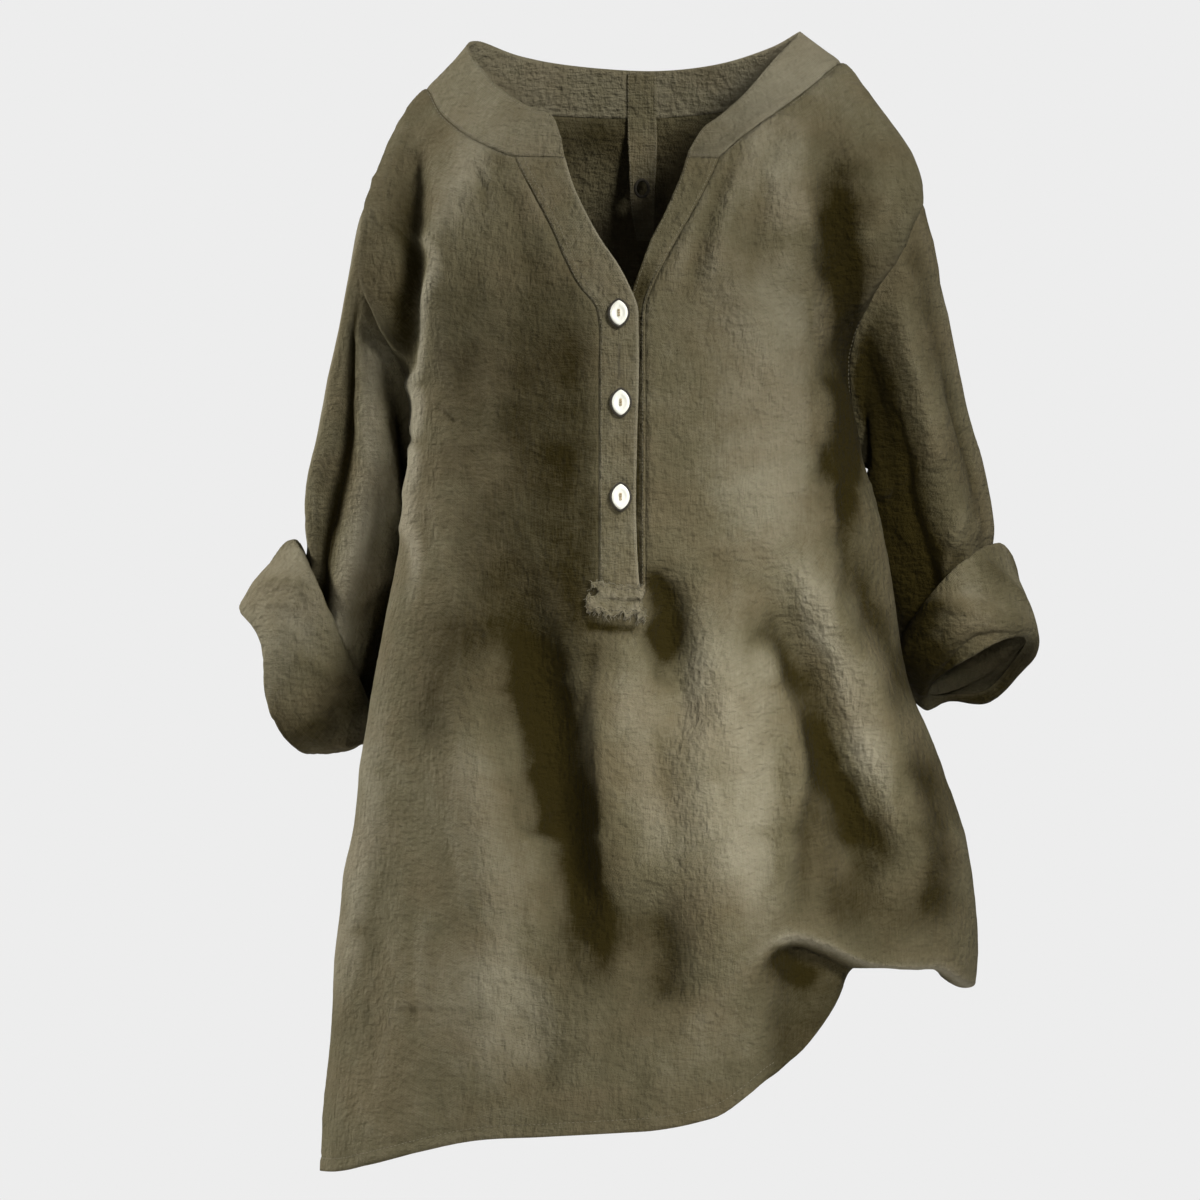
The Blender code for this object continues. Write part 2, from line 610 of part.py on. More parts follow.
def loop_angles(loop):
    """Angle of each point of the armhole, by its length along the loop."""
    half = ARMHOLE_ROWS
    closed = np.concatenate([loop, loop[:1]])
    length = np.concatenate([[0], np.cumsum(
        np.linalg.norm(np.diff(closed, axis=0), axis=1))])
    fore = length[:half + 1] / length[half] * math.pi
    rear = math.pi + (length[half + 1:-1] - length[half]) / (
        length[-1] - length[half]) * math.pi
    return np.concatenate([fore, rear])


def through(rings, per_span):
    """Smooth rows through the given rings, with some more between them."""
    rings = np.array(rings)
    count = len(rings)
    at = []
    for k in range(count - 1):
        at += [k + j / per_span for j in range(per_span)]
    at.append(count - 1)
    at = np.array(at)
    flat = rings.reshape(count, -1)
    slope = np.gradient(flat, axis=0)
    i = np.clip(at.astype(int), 0, count - 2)
    h = (at - i)[:, None]
    rows = ((1 + 2 * h) * (1 - h) ** 2 * flat[i] + h * (1 - h) ** 2 * slope[i]
            + h * h * (3 - 2 * h) * flat[i + 1] + h * h * (h - 1) * slope[i + 1])
    return rows.reshape(len(at), -1, 3)


def sleeve_grid(loop, lead, sections, folds):
    """Sleeve from the armhole seam to its end inside the cuff."""
    angles = loop_angles(loop)
    first = loop + np.array(lead)
    first[:, 2] -= LEAD_SWING * np.cos(angles)
    lower = [ring(r, angles) for r in table_rows(sections)]
    rows = through([loop, first] + lower, SLEEVE_SPAN)
    centre = rows.mean(axis=1, keepdims=True)
    out = rows - centre
    out /= np.linalg.norm(out, axis=2, keepdims=True)
    way = np.linspace(0, 1, len(rows))[:, None]
    degrees = np.degrees(angles)[None, :]
    height = np.zeros(rows.shape[:2])
    for a0, a1, start, end, reach, rise in zip(*folds.values()):
        middle = mix(a0, a1, way)
        aside = (degrees - middle + 180) % 360 - 180
        ends = ease(way, start - 0.1, start + 0.15) * (1 - ease(way, end - 0.15, end + 0.1))
        height = height + rise * ends * np.exp(-(aside / reach) ** 2)
    height = height * ease(way, 0.0, 0.12) * (1 - ease(way, 0.82, 0.98))
    return rows + out * height[..., None]


def cuff_grid(loop, sections):
    """Cuff from the sleeve's end, round the rim and back up over the sleeve."""
    angles = loop_angles(loop)
    return np.array([ring(r, angles) for r in table_rows(sections)])


# ---------------------------------------------------------------- band, placket
def band_grid(front, back, over, under):
    """Neckband: its lower row is the neckline, its upper row its top edge."""
    first = SHOULDER_COLUMNS
    slot = first + NECK_COLUMNS
    right_front = front[0, first:slot + 1][::-1]
    left_front = front[0, slot + SLOT_COLUMNS:slot + SLOT_COLUMNS + NECK_COLUMNS + 1]
    rear = back[0, first:first + BACK_NECK_COLUMNS + 1]
    lower = np.concatenate([over[0, ::-1][:-1], right_front[:-1], rear,
                            left_front[::-1][1:], under[0][::-1][1:]])
    n_over = over.shape[1] - 1
    n_under = under.shape[1] - 1
    place = np.concatenate([
        np.linspace(0, BAND_RIGHT_FRONT[0], n_over + 1)[:-1],
        np.linspace(*BAND_RIGHT_FRONT, NECK_COLUMNS + 1)[:-1],
        np.linspace(*BAND_BACK, BACK_NECK_COLUMNS + 1),
        np.linspace(*BAND_LEFT_FRONT, NECK_COLUMNS + 1)[1:],
        np.linspace(BAND_LEFT_FRONT[1], 1, n_under + 1)[1:],
    ])
    upper = read(BAND_TOP, "along", "x", "y", "z")(place)
    return np.array([mix(lower, upper, k / BAND_ROWS) for k in range(BAND_ROWS + 1)])


def body_front(x, z, lift):
    """Points of the front's surface without folds, moved out by lift."""
    x = np.asarray(x, dtype=float)
    z = np.asarray(z, dtype=float)
    y = section(x, z, 1)
    return np.stack([x, y, z], axis=-1) + section_normal(x, y, z, 0.0) * np.asarray(
        lift, dtype=float)[..., None]


def over_grid(front, slot_row):
    """Over-placket: from the slot's right seam to its free edge."""
    seam = front[:slot_row + 1, SHOULDER_COLUMNS + NECK_COLUMNS]
    free = read(OVER_EDGE, "level", "x")(seam[:, 2])
    share = np.linspace(0, 1, OVER_COLUMNS + 1)
    x = mix(seam[:, 0][:, None], free[:, None], share)
    z = np.repeat(seam[:, 2][:, None], OVER_COLUMNS + 1, axis=1)
    grid = body_front(x, z, OVER_LIFT * ease(share, 0, 0.6) + np.zeros_like(x))
    shift = (seam - grid[:, 0])[:, None] * (1 - share)[None, :, None]
    shift_y = front_pull(seam)
    grid = grid + shift
    grid[:, 1:, 1] += shift_y[:, None] * share[None, 1:]
    return grid


def front_pull(seam):
    """How much the seam stands off the plain section, for strips beside it."""
    return seam[:, 1] - section(seam[:, 0], seam[:, 2], 1)


def under_grid(front, slot_row):
    """Under-placket: from its free edge to the slot's left seam, lying lower."""
    seam = front[:slot_row + 1, SHOULDER_COLUMNS + NECK_COLUMNS + SLOT_COLUMNS]
    free = read(UNDER_EDGE, "level", "x")(seam[:, 2])
    share = np.array(UNDER_SHARES)
    x = mix(free[:, None], seam[:, 0][:, None], share)
    z = np.repeat(seam[:, 2][:, None], len(share), axis=1)
    covered = ease(-seam[:, 2], *UNDER_COVERED)[:, None]
    drop = UNDER_DROP * covered * (1 - ease(share, UNDER_SHARES[-2], 1.0))
    grid = body_front(x, z, -drop)
    shift = (seam - grid[:, -1])[:, None] * share[None, :, None] ** 2
    pull = front_pull(seam)
    grid = grid + shift
    grid[:, :-1, 1] += pull[:, None] * (1 - share[:-1] ** 2)
    return grid


def cast(x, z, grids, forward=True):
    """Depth of the grids' surfaces at points of the front view: of the foremost
    surface there, or of the rearmost one. Points off the grids take the depth of
    the points beside them."""
    corners = []
    for grid in grids:
        a, b = grid[:-1, :-1], grid[1:, :-1]
        c, d = grid[1:, 1:], grid[:-1, 1:]
        corners.append(np.stack([a, b, c], axis=2).reshape(-1, 3, 3))
        corners.append(np.stack([a, c, d], axis=2).reshape(-1, 3, 3))
    tri = np.concatenate(corners)
    p, q, r = tri[:, 0], tri[:, 1] - tri[:, 0], tri[:, 2] - tri[:, 0]
    area = q[:, 0] * r[:, 2] - q[:, 2] * r[:, 0]
    area = np.where(np.abs(area) < 1e-6, np.nan, area)
    found = []
    for px, pz in zip(np.ravel(x), np.ravel(z)):
        dx, dz = px - p[:, 0], pz - p[:, 2]
        u = (dx * r[:, 2] - dz * r[:, 0]) / area
        v = (dz * q[:, 0] - dx * q[:, 2]) / area
        inside = (u >= -0.01) & (v >= -0.01) & (u + v <= 1.01)
        depth = p[inside, 1] + u[inside] * q[inside, 1] + v[inside] * r[inside, 1]
        depth = depth if len(depth) else np.array([np.nan])
        found.append(depth.min() if forward else depth.max())
    found = np.array(found)
    known = ~np.isnan(found)
    order = np.arange(len(found))
    found = np.interp(order, order[known], found[known])
    return found.reshape(np.shape(x))


def patch_grid(front, over):
    """Frayed patch at the foot of the placket, lying on the front."""
    rng = np.random.default_rng(PATCH_RAGGED_SEED)
    share = np.linspace(0, 1, PATCH_COLUMNS)[:, None]
    upper = mix(np.array(PATCH_TOP[0]), np.array(PATCH_TOP[1]), share)
    lower = mix(np.array(PATCH_FOOT[0]), np.array(PATCH_FOOT[1]), share)
    flat = np.array([mix(upper, lower, k / PATCH_ROWS) for k in range(PATCH_ROWS + 1)])
    edges = ((flat[0, :, 1], 1), (flat[-1, :, 1], -1), (flat[:, 0, 0], -1),
             (flat[:, -1, 0], 1))
    for (edge, way), low, high in zip(edges, *PATCH_RAGGED.values()):
        edge += way * rng.uniform(low, high, len(edge))
    depth = cast(flat[..., 0], flat[..., 1], (front, over)) - PATCH_LIFT
    padded = np.pad(depth, 1, mode="edge")
    foremost = np.min([padded[r:r + depth.shape[0], c:c + depth.shape[1]]
                       for r in range(3) for c in range(3)], axis=0)
    return np.stack([flat[..., 0], foremost, flat[..., 1]], axis=-1)


def strip_grid(band):
    """Narrow strip that hangs inside the centre back, from the neckband."""
    level, half, lean = (STRIP[name][:, None] for name in ("level", "half_width", "lean"))
    x = STRIP_CENTRE + lean + half * np.array(STRIP_SHARES)
    z = np.repeat(level, len(STRIP_SHARES), axis=1)
    seated = cast(x, np.clip(z, *STRIP_SEAT), (band,), forward=False)
    return np.stack([x, seated - (CLOTH + STRIP_CLOTH) / 2 - LAYER_GAP, z], axis=-1)


# ---------------------------------------------------------------- building walls
class Piece:
    """A grid of points that becomes one wall of cloth."""

    def __init__(self, name, grid, cloth=CLOTH, closed=False, holes=(), flip=False):
        self.name = name
        self.grid = np.array(grid, dtype=float)
        self.cloth = cloth
        self.closed = closed
        self.flip = flip
        rows, columns = self.grid.shape[:2]
        self.rows = rows
        self.columns = columns
        spans = columns if closed else columns - 1
        self.cells = np.ones((rows - 1, spans), dtype=bool)
        for r0, r1, c0, c1 in holes:
            self.cells[r0:r1, c0:c1] = False

    def quads(self):
        """Corner indices of every cell that is kept, facing outwards."""
        found = []
        for r, c in zip(*np.nonzero(self.cells)):
            d = (c + 1) % self.columns
            quad = [(r, c), (r + 1, c), (r + 1, d), (r, d)]
            found.append(quad[::-1] if self.flip else quad)
        return found

    def face_normals(self):
        """Area-weighted normals summed at each grid point."""
        total = np.zeros_like(self.grid)
        for quad in self.quads():
            a, b, c, d = (self.grid[p] for p in quad)
            normal = np.cross(c - a, d - b)
            for p in quad:
                total[p] += normal
        return total


def unit(vectors):
    length = np.linalg.norm(vectors, axis=-1, keepdims=True)
    return vectors / np.maximum(length, 1e-9)


def shared_normals(pieces):
    """Normals of the sewn garment: points on a seam get one normal, so the walls
    meet in a mitre. Where a sleeve bends sharply off the body, each keeps its own
    normal and both edges stand back as far as the bend asks."""
    sums = {}
    for piece in pieces:
        piece.normals = piece.face_normals()
        for r in range(piece.rows):
            for c in range(piece.columns):
                key = tuple(np.round(piece.grid[r, c], 3))
                found = sums.setdefault(key, {})
                found[piece.closed] = found.get(piece.closed, 0) + piece.normals[r, c]
    for piece in pieces:
        piece.stand_back = np.full((piece.rows, piece.columns), SEAM_GAP / 2)
        for r in range(piece.rows):
            for c in range(piece.columns):
                found = sums[tuple(np.round(piece.grid[r, c], 3))]
                ways = [unit(normal) for normal in found.values()]
                bend = np.dot(*ways) if len(ways) == 2 else 1.0
                if bend > FLAT_SEAM:
                    piece.normals[r, c] = unit(sum(ways))
                else:
                    piece.normals[r, c] = unit(found[piece.closed])
                    half = math.acos(max(bend, FULL_BEND)) / 2
                    piece.stand_back[r, c] += CLOTH / 2 * math.tan(half)


def draw_back(piece):
    """Moves the piece's seam edges inward along the cloth by half the gap."""
    grid = piece.grid
    moved = grid.copy()
    used = np.zeros((piece.rows, piece.columns), dtype=bool)
    count = {}
    for quad in piece.quads():
        for k in range(4):
            edge = frozenset((quad[k], quad[(k + 1) % 4]))
            count[edge] = count.get(edge, 0) + 1
        for p in quad:
            used[p] = True
    rim = [tuple(edge) for edge, n in count.items() if n == 1]
    push = {}
    inner = {}
    for quad in piece.quads():
        middle = np.mean([grid[p] for p in quad], axis=0)
        for p in quad:
            inner.setdefault(p, []).append(middle)
    for a, b in rim:
        along = grid[b] - grid[a]
        length = np.linalg.norm(along)
        if length < 1e-6:
            continue
        along = along / length
        for p in (a, b):
            toward = np.mean(inner[p], axis=0) - grid[p]
            toward = toward - along * np.dot(toward, along)
            toward = toward - piece.normals[p] * np.dot(toward, piece.normals[p])
            size = np.linalg.norm(toward)
            if size > 1e-6:
                push.setdefault(p, []).append(toward / size)
    for p, ways in push.items():
        total = np.sum(ways, axis=0)
        if len(ways) > 1 and np.dot(ways[0], ways[-1]) > 0.5:
            total = total / len(ways)
        moved[p] = grid[p] + total * piece.stand_back[p]
    piece.grid = moved


def wall(piece, material):
    """Mesh object of a piece: outer sheet, inner sheet and the rim between."""
    quads = piece.quads()
    index = {}
    for quad in quads:
        for p in quad:
            index.setdefault(p, len(index))
    half = piece.cloth / 2
    outer = [piece.grid[p] + piece.normals[p] * half for p in index]
    inner = [piece.grid[p] - piece.normals[p] * half for p in index]
    count = len(index)
    faces = []
    edges = {}
    for quad in quads:
        ids = [index[p] for p in quad]
        span = [np.linalg.norm(piece.grid[quad[k]] - piece.grid[quad[k + 2]])
                for k in (0, 1)]
        a, b, c, d = ids if span[0] <= span[1] else ids[1:] + ids[:1]
        for three in ((a, b, c), (a, c, d)):
            faces.append(three)
            faces.append([i + count for i in three[::-1]])
        for k in range(4):
            a, b = ids[k], ids[(k + 1) % 4]
            edges[(a, b)] = edges.get((a, b), 0) + 1
    for a, b in edges:
        if (b, a) not in edges:
            faces.append([b, a, a + count, b + count])
    return mesh_object(piece.name, np.array(outer + inner), faces, material)


def mesh_object(name, points, faces, material):
    """Object with its place in its mesh, shaded smooth."""
    mesh = bpy.data.meshes.new(name)
    mesh.from_pydata([tuple(p) for p in points * MM], [], faces)
    mesh.materials.append(material)
    mesh.shade_smooth()
    mesh.set_sharp_from_angle(angle=SHARP_EDGE)
    piece = bpy.data.objects.new(name, mesh)
    bpy.context.scene.collection.objects.link(piece)
    return piece


# ---------------------------------------------------------------- buttons
def button(name, x, level, material, strip):
    """Pointed oval button with a domed rim, lying on the over-placket."""
    step = BUTTON_STEP
    near = cast(x + np.array([0, -step, step, 0, 0]),
                level + np.array([0, 0, 0, -step, step]), (strip,))
    slope_x = (near[2] - near[1]) / (2 * step)
    slope_z = (near[4] - near[3]) / (2 * step)
    normal = unit(np.array([slope_x, -1.0, slope_z]))
    up = unit(np.array([0.0, slope_z, 1.0]))
    across = np.cross(up, normal)
    base = np.array([x, near[0], level]) + normal * (
        CLOTH / 2 + LAYER_GAP + BUTTON_SEAT)
    sides = BUTTON_SIDES
    points = []
    faces = []
    for reach, height in zip(*BUTTON_PROFILE.values()):
        if reach == 0.0:
            points.append(base + normal * height * BUTTON_THICK)
            continue
        for k in range(sides):
            angle = 2 * math.pi * k / sides
            drawn = 1.0 - BUTTON_POINT * abs(math.sin(2 * angle))
            points.append(base
                          + across * math.cos(angle) * reach * BUTTON_WIDTH / 2 * drawn
                          + up * math.sin(angle) * reach * BUTTON_HEIGHT / 2
                          + normal * height * BUTTON_THICK)
    rings = len(BUTTON_PROFILE["reach"]) - 2
    for k in range(sides):
        j = (k + 1) % sides
        faces.append([0, 1 + k, 1 + j])
        for r in range(rings - 1):
            a = 1 + r * sides
            faces.append([a + k, a + sides + k, a + sides + j, a + j])
        last = 1 + (rings - 1) * sides
        faces.append([last + k, len(points) - 1, last + j])
    return mesh_object(name, np.array(points), faces, material)


# ---------------------------------------------------------------- materials
def material(name, colour, roughness):
    """Principled material with one colour."""
    made = bpy.data.materials.new(name)
    made.use_nodes = True
    shader = made.node_tree.nodes["Principled BSDF"]
    shader.inputs["Base Color"].default_value = (*colour, 1.0)
    shader.inputs["Roughness"].default_value = roughness
    shader.inputs["Metallic"].default_value = 0.0
    return made


def clear_scene():
    for item in list(bpy.data.objects):
        bpy.data.objects.remove(item, do_unlink=True)


# ---------------------------------------------------------------- the garment
def cloth_pieces():
    """All cloth pieces, in the order they are sewn."""
    stations = upper_stations()
    slot_row = ARMHOLE_ROWS + SLOT_ROWS
    front = front_grid(stations)
    back = back_grid(stations)
    for seam in (0, -1):
        back[ARMHOLE_ROWS:, seam] = front[ARMHOLE_ROWS:, seam]
    for shoulder in (slice(0, SHOULDER_COLUMNS + 1), slice(-SHOULDER_COLUMNS - 1, None)):
        back[0, shoulder] = front[0, shoulder]
    over = over_grid(front, slot_row)
    under = under_grid(front, slot_row)
    first_slot = SHOULDER_COLUMNS + NECK_COLUMNS
    right_loop = armhole_loop(front, back, True)
    left_loop = armhole_loop(front, back, False)
    sewn = [
        Piece("front_panel", front,
              holes=[(0, slot_row, first_slot, first_slot + SLOT_COLUMNS)]),
        Piece("back_panel", back, flip=True),
        Piece("neckband", band_grid(front, back, over, under)),
        Piece("placket_over", over),
        Piece("placket_under", under),
        Piece("right_sleeve", closed=True, grid=sleeve_grid(
            right_loop, RIGHT_LEAD, RIGHT_SLEEVE, FOLDS_RIGHT_SLEEVE)),
        Piece("left_sleeve", closed=True, flip=True, grid=sleeve_grid(
            left_loop, LEFT_LEAD, LEFT_SLEEVE, FOLDS_LEFT_SLEEVE)),
    ]
    slot_floor = front[slot_row, first_slot:first_slot + SLOT_COLUMNS + 1, 2].max()
    for strip in sewn[3:5]:
        last, above = strip.grid[-1], strip.grid[-2]
        share = (slot_floor + STRIPS_END - last[:, 2]) / (above[:, 2] - last[:, 2])
        strip.grid[-1] = mix(last, above, share[:, None])
    right_cuff = Piece("right_cuff", cuff_grid(right_loop, RIGHT_CUFF), CUFF_CLOTH,
                       closed=True)
    left_cuff = Piece("left_cuff", cuff_grid(left_loop, LEFT_CUFF), CUFF_CLOTH,
                      closed=True, flip=True)
    loose = [Piece("placket_patch", patch_grid(front, over)),
             Piece("back_strip", strip_grid(sewn[2].grid), STRIP_CLOTH,
                   holes=[STRIP_HOLE])]
    sewn += [right_cuff, left_cuff]
    shared_normals(sewn)
    shared_normals(loose)
    for strip in sewn[3:5]:
        strip.normals[-1] = strip.normals[-2]
    for piece in sewn:
        draw_back(piece)
    return sewn + loose


def main():
    clear_scene()
    linen = material("linen", (0.10, 0.085, 0.046), 0.9)
    shell = material("button_shell", (0.78, 0.76, 0.66), 0.35)
    pieces = cloth_pieces()
    for piece in pieces:
        wall(piece, linen)
    over = next(p for p in pieces if p.name == "placket_over")
    for number, (x, level) in enumerate(zip(BUTTON_CENTRES, BUTTON_LEVELS), start=1):
        button(f"button_{number}", x, level, shell, over.grid)


main()
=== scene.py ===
"""V-neck popover blouse in olive linen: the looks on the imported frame.

The scene repeats the garment's pattern tables at a finer grid, lays creases and
crumple on them, and gives each sewn piece a thin wall of linen in place of its
stiff node. Millimetres in the tables, metres in the meshes. The front faces -Y and
+X is the wearer's left.
"""

import logging
import math
from dataclasses import dataclass, field
from enum import Enum
from typing import Callable, Iterable, Sequence

import bpy
import numpy as np
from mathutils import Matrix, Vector


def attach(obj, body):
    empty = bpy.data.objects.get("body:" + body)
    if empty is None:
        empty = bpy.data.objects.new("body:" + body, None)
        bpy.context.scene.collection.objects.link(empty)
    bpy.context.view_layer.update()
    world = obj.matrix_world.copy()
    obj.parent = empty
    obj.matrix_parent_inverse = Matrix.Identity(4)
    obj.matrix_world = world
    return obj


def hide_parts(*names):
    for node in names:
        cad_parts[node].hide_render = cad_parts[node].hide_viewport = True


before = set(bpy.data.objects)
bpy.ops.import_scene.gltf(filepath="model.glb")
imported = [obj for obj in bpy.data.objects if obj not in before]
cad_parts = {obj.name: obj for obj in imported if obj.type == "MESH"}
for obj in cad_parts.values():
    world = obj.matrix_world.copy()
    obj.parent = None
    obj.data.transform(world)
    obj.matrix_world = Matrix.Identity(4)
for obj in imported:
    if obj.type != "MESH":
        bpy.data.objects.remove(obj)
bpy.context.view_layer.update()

log = logging.getLogger("blouse")

Array = np.ndarray
Table = dict[str, Array]
Colour = tuple[float, float, float, float]
Piece = bpy.types.Object
Mesh = bpy.types.Mesh
Material = bpy.types.Material
Tree = bpy.types.NodeTree
Node = bpy.types.Node
Socket = bpy.types.NodeSocket

MM = 0.001
BODY = "root"
LINEN_SLOT = "linen"
BUTTON_SLOT = "button_shell"


def table(columns: Sequence[str], *rows: Sequence[float]) -> Table:
    """Named columns over rows of numbers."""
    values = np.array(rows, dtype=float)
    return {name: values[:, i] for i, name in enumerate(columns)}


# ---------------------------------------------------------------- cloth and grid
SHEET_WALL = 0.7       # wall of a single layer of linen
CUFF_WALL = 1.6        # wall of the turned-back cuff
WRAP = math.radians(102.0)     # turn of the section from the slot to the side seam
SECTION_POWER = 2.25   # how square the section is, 2 for an ellipse
SHOULDER_ROUND = 95.0  # drop over which the cloth leaves its top edge's own line
SHOULDER_FALL = 2.2    # how fast it does
FOLD_FLARE = 0.06      # how far up the folds' outward direction leans
FOLD_START = 22.0      # drop below the top edge over which the folds begin
FOLD_ENDS = (0.12, 0.22)       # how far before and inside its ends a fold fades
FOLDS_FADE = (0.84, 0.99)      # nearness to a side seam over which folds fade out
FOLD_GUESS = -600.0    # first guess at the fold line's level
FOLD_ROUNDS = 6        # rounds that bring it to the line
FRONT_FOLLOWS = (0.55, 1.0)    # columns that follow the armhole, from none to fully
BACK_FOLLOWS = 0.24    # share of the back's columns, from each side, that follow it
BACK_SHOULDER = 0.2    # share of the back's columns that each shoulder takes
SLEEVE_FOLDS_RUN_IN = 0.15     # how far inside its ends a sleeve fold is full
ARMHOLE_SHARE = 0.345  # share of the way down at which the armhole ends
SLOT_SHARE = 0.538     # the same of the slot
SHOULDER_SHARE = 0.42  # share of the top edge that the shoulder takes
ARMHOLE_CROWDS = 1.08  # how much closer the rows lie at the top of the armhole


@dataclass(frozen=True)
class Counts:
    """Rows and columns of the fine grids, shared by neighbouring pieces."""

    shoulder: int = 25
    neck: int = 45
    slot: int = 9
    over: int = 12
    under: int = 14
    back_neck: int = 66
    armhole: int = 50
    slot_rows: int = 30
    body: int = 92
    turn: int = 14
    hem: int = 26
    sleeve_span: int = 13
    cuff_span: int = 8
    band: int = 16


COUNTS = Counts()
SLOT_ROW = COUNTS.armhole + COUNTS.slot_rows       # the front's row at the slot's foot
SLOT_FIRST = COUNTS.shoulder + COUNTS.neck         # its columns beside the slot
SLOT_LAST = SLOT_FIRST + COUNTS.slot

# Columns that several tables share.
PATH = ("along", "x", "y", "z")
ARMHOLE = ("along", "x", "y")
STROKE = ("x0", "z0", "x1", "z1", "bend", "reach", "height")
LENGTHWISE = ("angle0", "angle1", "from", "to", "reach", "height")
ROUND = ("angle0", "way0", "angle1", "way1", "reach", "height")
RING = ("cx", "cy", "cz", "out_x", "out_z", "fore_y", "fore_z")

# ---------------------------------------------------------------- body tables
# Silhouette of the body in front view, level by level.
OUTLINE = table(
    ("level", "right_edge", "left_edge"),
    (-780, -208, 224), (-727, -205.6, 232), (-657, -199.4, 241), (-600, -194.5, 247),
    (-553, -189.8, 243), (-524, -184, 237.5), (-472, -177, 220.5), (-431, -171, 204),
    (-403, -166, 197), (-377, -161, 192), (-333, -152.5, 185), (-300, -148, 178),
    (-259, -141.5, 168.5), (-224, -138, 162.5), (-205, -140, 157), (-188, -150, 154.5),
    (-165, -163, 160), (-143, -172, 171), (-126, -175, 182), (-105, -176.5, 194),
    (-90, -177, 202), (-60, -170, 203), (-30, -158, 190), (0, -142, 172),
    (30, -132, 158),
)

# Depth of the section: centre front, centre back and the line of greatest width.
DEPTH = table(
    ("level", "front", "back", "side"),
    (-780, -146, 124, -25), (-680, -139, 117, -25), (-600, -133, 111, -25),
    (-520, -127, 105, -25), (-430, -122, 100, -25), (-340, -118, 97, -25),
    (-260, -114, 94, -25), (-200, -107, 90, -22), (-150, -98, 84, -18),
    (-100, -86, 74, -12), (-60, -73, 62, -6), (-30, -57, 50, 0), (30, -24, 30, 0),
)

# The slot that the placket closes: its seam on each side.
SLOT = table(
    ("level", "right_seam", "left_seam"),
    (-780, -14.5, 17.5), (-355, -14.5, 17.5), (-200, -14.5, 17.5), (-172, -14.6, 17.4),
    (-159, -17.5, 18), (-147, -27.5, 22), (-128, -38, 31), (-108, -46.5, 42),
    (-82, -60, 56.6), (-56.6, -72.5, 68.3), (30, -72.5, 68.3),
)

# Top edge of each half front: 0 is the placket seam, then the neckline up to the
# neck point, then the shoulder seam down to the shoulder point at 1.
TOP_RIGHT = table(
    PATH,
    (0, -72.5, -64, -56.6), (0.12, -84, -59, -52.5), (0.25, -98.5, -50, -45.5),
    (0.38, -112.5, -36, -36), (0.49, -124.5, -18, -24), (0.58, -133, 0, -9),
    (0.7, -146, 2, -22), (0.82, -155.5, 3, -41), (0.92, -162.5, 3, -63),
    (1, -170, 2, -86),
)
TOP_LEFT = table(
    PATH,
    (0, 68.3, -65, -56.6), (0.12, 80.5, -60, -45.5), (0.25, 98, -50, -32),
    (0.38, 116.5, -36, -19), (0.49, 135, -19, -4.5), (0.58, 152, 0, 9),
    (0.7, 165.5, 2, -3.5), (0.82, 179.5, 3, -25), (0.92, 191.5, 3, -51),
    (1, 202, 2, -79),
)
# Neckline of the back, from the right neck point to the left one.
TOP_BACK = table(
    PATH,
    (0, -133, 0, -9), (0.1, -122, 17, -15), (0.22, -98, 33, -20.5),
    (0.36, -58, 46, -25.5), (0.5, 2, 52, -28), (0.64, 62, 47, -25),
    (0.78, 112, 33, -13.5), (0.9, 139, 17, -1), (1, 152, 0, 9),
)

# Armholes, from the shoulder point to the underarm.
ARMHOLE_RIGHT_FRONT = table(
    ARMHOLE,
    (0, -170, 2), (0.12, -172.5, -15), (0.25, -173, -25), (0.4, -169, -29),
    (0.52, -157, -26), (0.62, -148, -20), (0.75, -142.5, -11), (0.88, -140.5, -3),
    (1, -140.7, 3.5),
)
ARMHOLE_RIGHT_BACK = table(
    ARMHOLE,
    (0, -170, 2), (0.12, -172.5, 21), (0.25, -172, 37), (0.4, -167, 48),
    (0.55, -159, 52), (0.7, -150, 46), (0.85, -143, 27), (1, -140.7, 3.5),
)
ARMHOLE_LEFT_FRONT = table(
    ARMHOLE,
    (0, 202, 2), (0.12, 198, -16), (0.25, 188, -26), (0.4, 173, -29),
    (0.52, 163, -26), (0.62, 159, -20), (0.75, 159.5, -12), (0.88, 163, -3),
    (1, 166.6, 6.2),
)
ARMHOLE_LEFT_BACK = table(
    ARMHOLE,
    (0, 202, 2), (0.12, 203, 22), (0.25, 200, 39), (0.4, 191, 50),
    (0.55, 181, 53), (0.7, 173.5, 45), (0.85, 169.5, 26), (1, 166.6, 6.2),
)

# Lower edge. "fold" is the line where the raised left side is turned under,
# "hem" the true hem, which climbs inside the garment left of the turn.
LOWER_FRONT = table(
    ("x", "fold", "hem"),
    (-215, -650, -757), (-206, -648, -756), (-188, -646, -756), (-166, -643, -751),
    (-130, -638, -741), (-98, -634, -734), (-52, -626, -731), (-8, -618, -728.5),
    (28, -612, -726), (55, -607, -721), (72, -603, -716), (92, -599, -702),
    (103, -594, -693), (113, -590.5, -687), (122, -590.5, -680), (131, -592.5, -673),
    (145, -598, -656), (161, -606, -632), (175, -611, -611), (188, -612.5, -596),
    (205, -613, -586), (224, -614, -582), (234, -620, -582), (244, -626, -582),
    (255, -628, -582),
)
LOWER_BACK = table(
    ("x", "fold", "hem"),
    (-215, -650, -755), (-206, -648, -754), (-160, -642, -738), (-98, -634, -722),
    (0, -620, -712), (60, -608, -700), (100, -598, -676), (130, -600, -650),
    (160, -606, -617), (188, -612, -596), (205, -613, -586), (224, -614, -582),
    (234, -620, -582), (244, -626, -582), (255, -628, -582),
)
TURN_START = 92.0      # x where the turn begins to lift off
TURN_FULL = 128.0      # x where it is full
TURN_DEPTH = 21.0      # how far in the turned cloth lies
TUCK_START = 160.0     # x from which the cloth past the fold climbs
TUCK_FULL = 192.0
TUCK_REACH = 26.0      # how far in it runs where it neither falls nor climbs
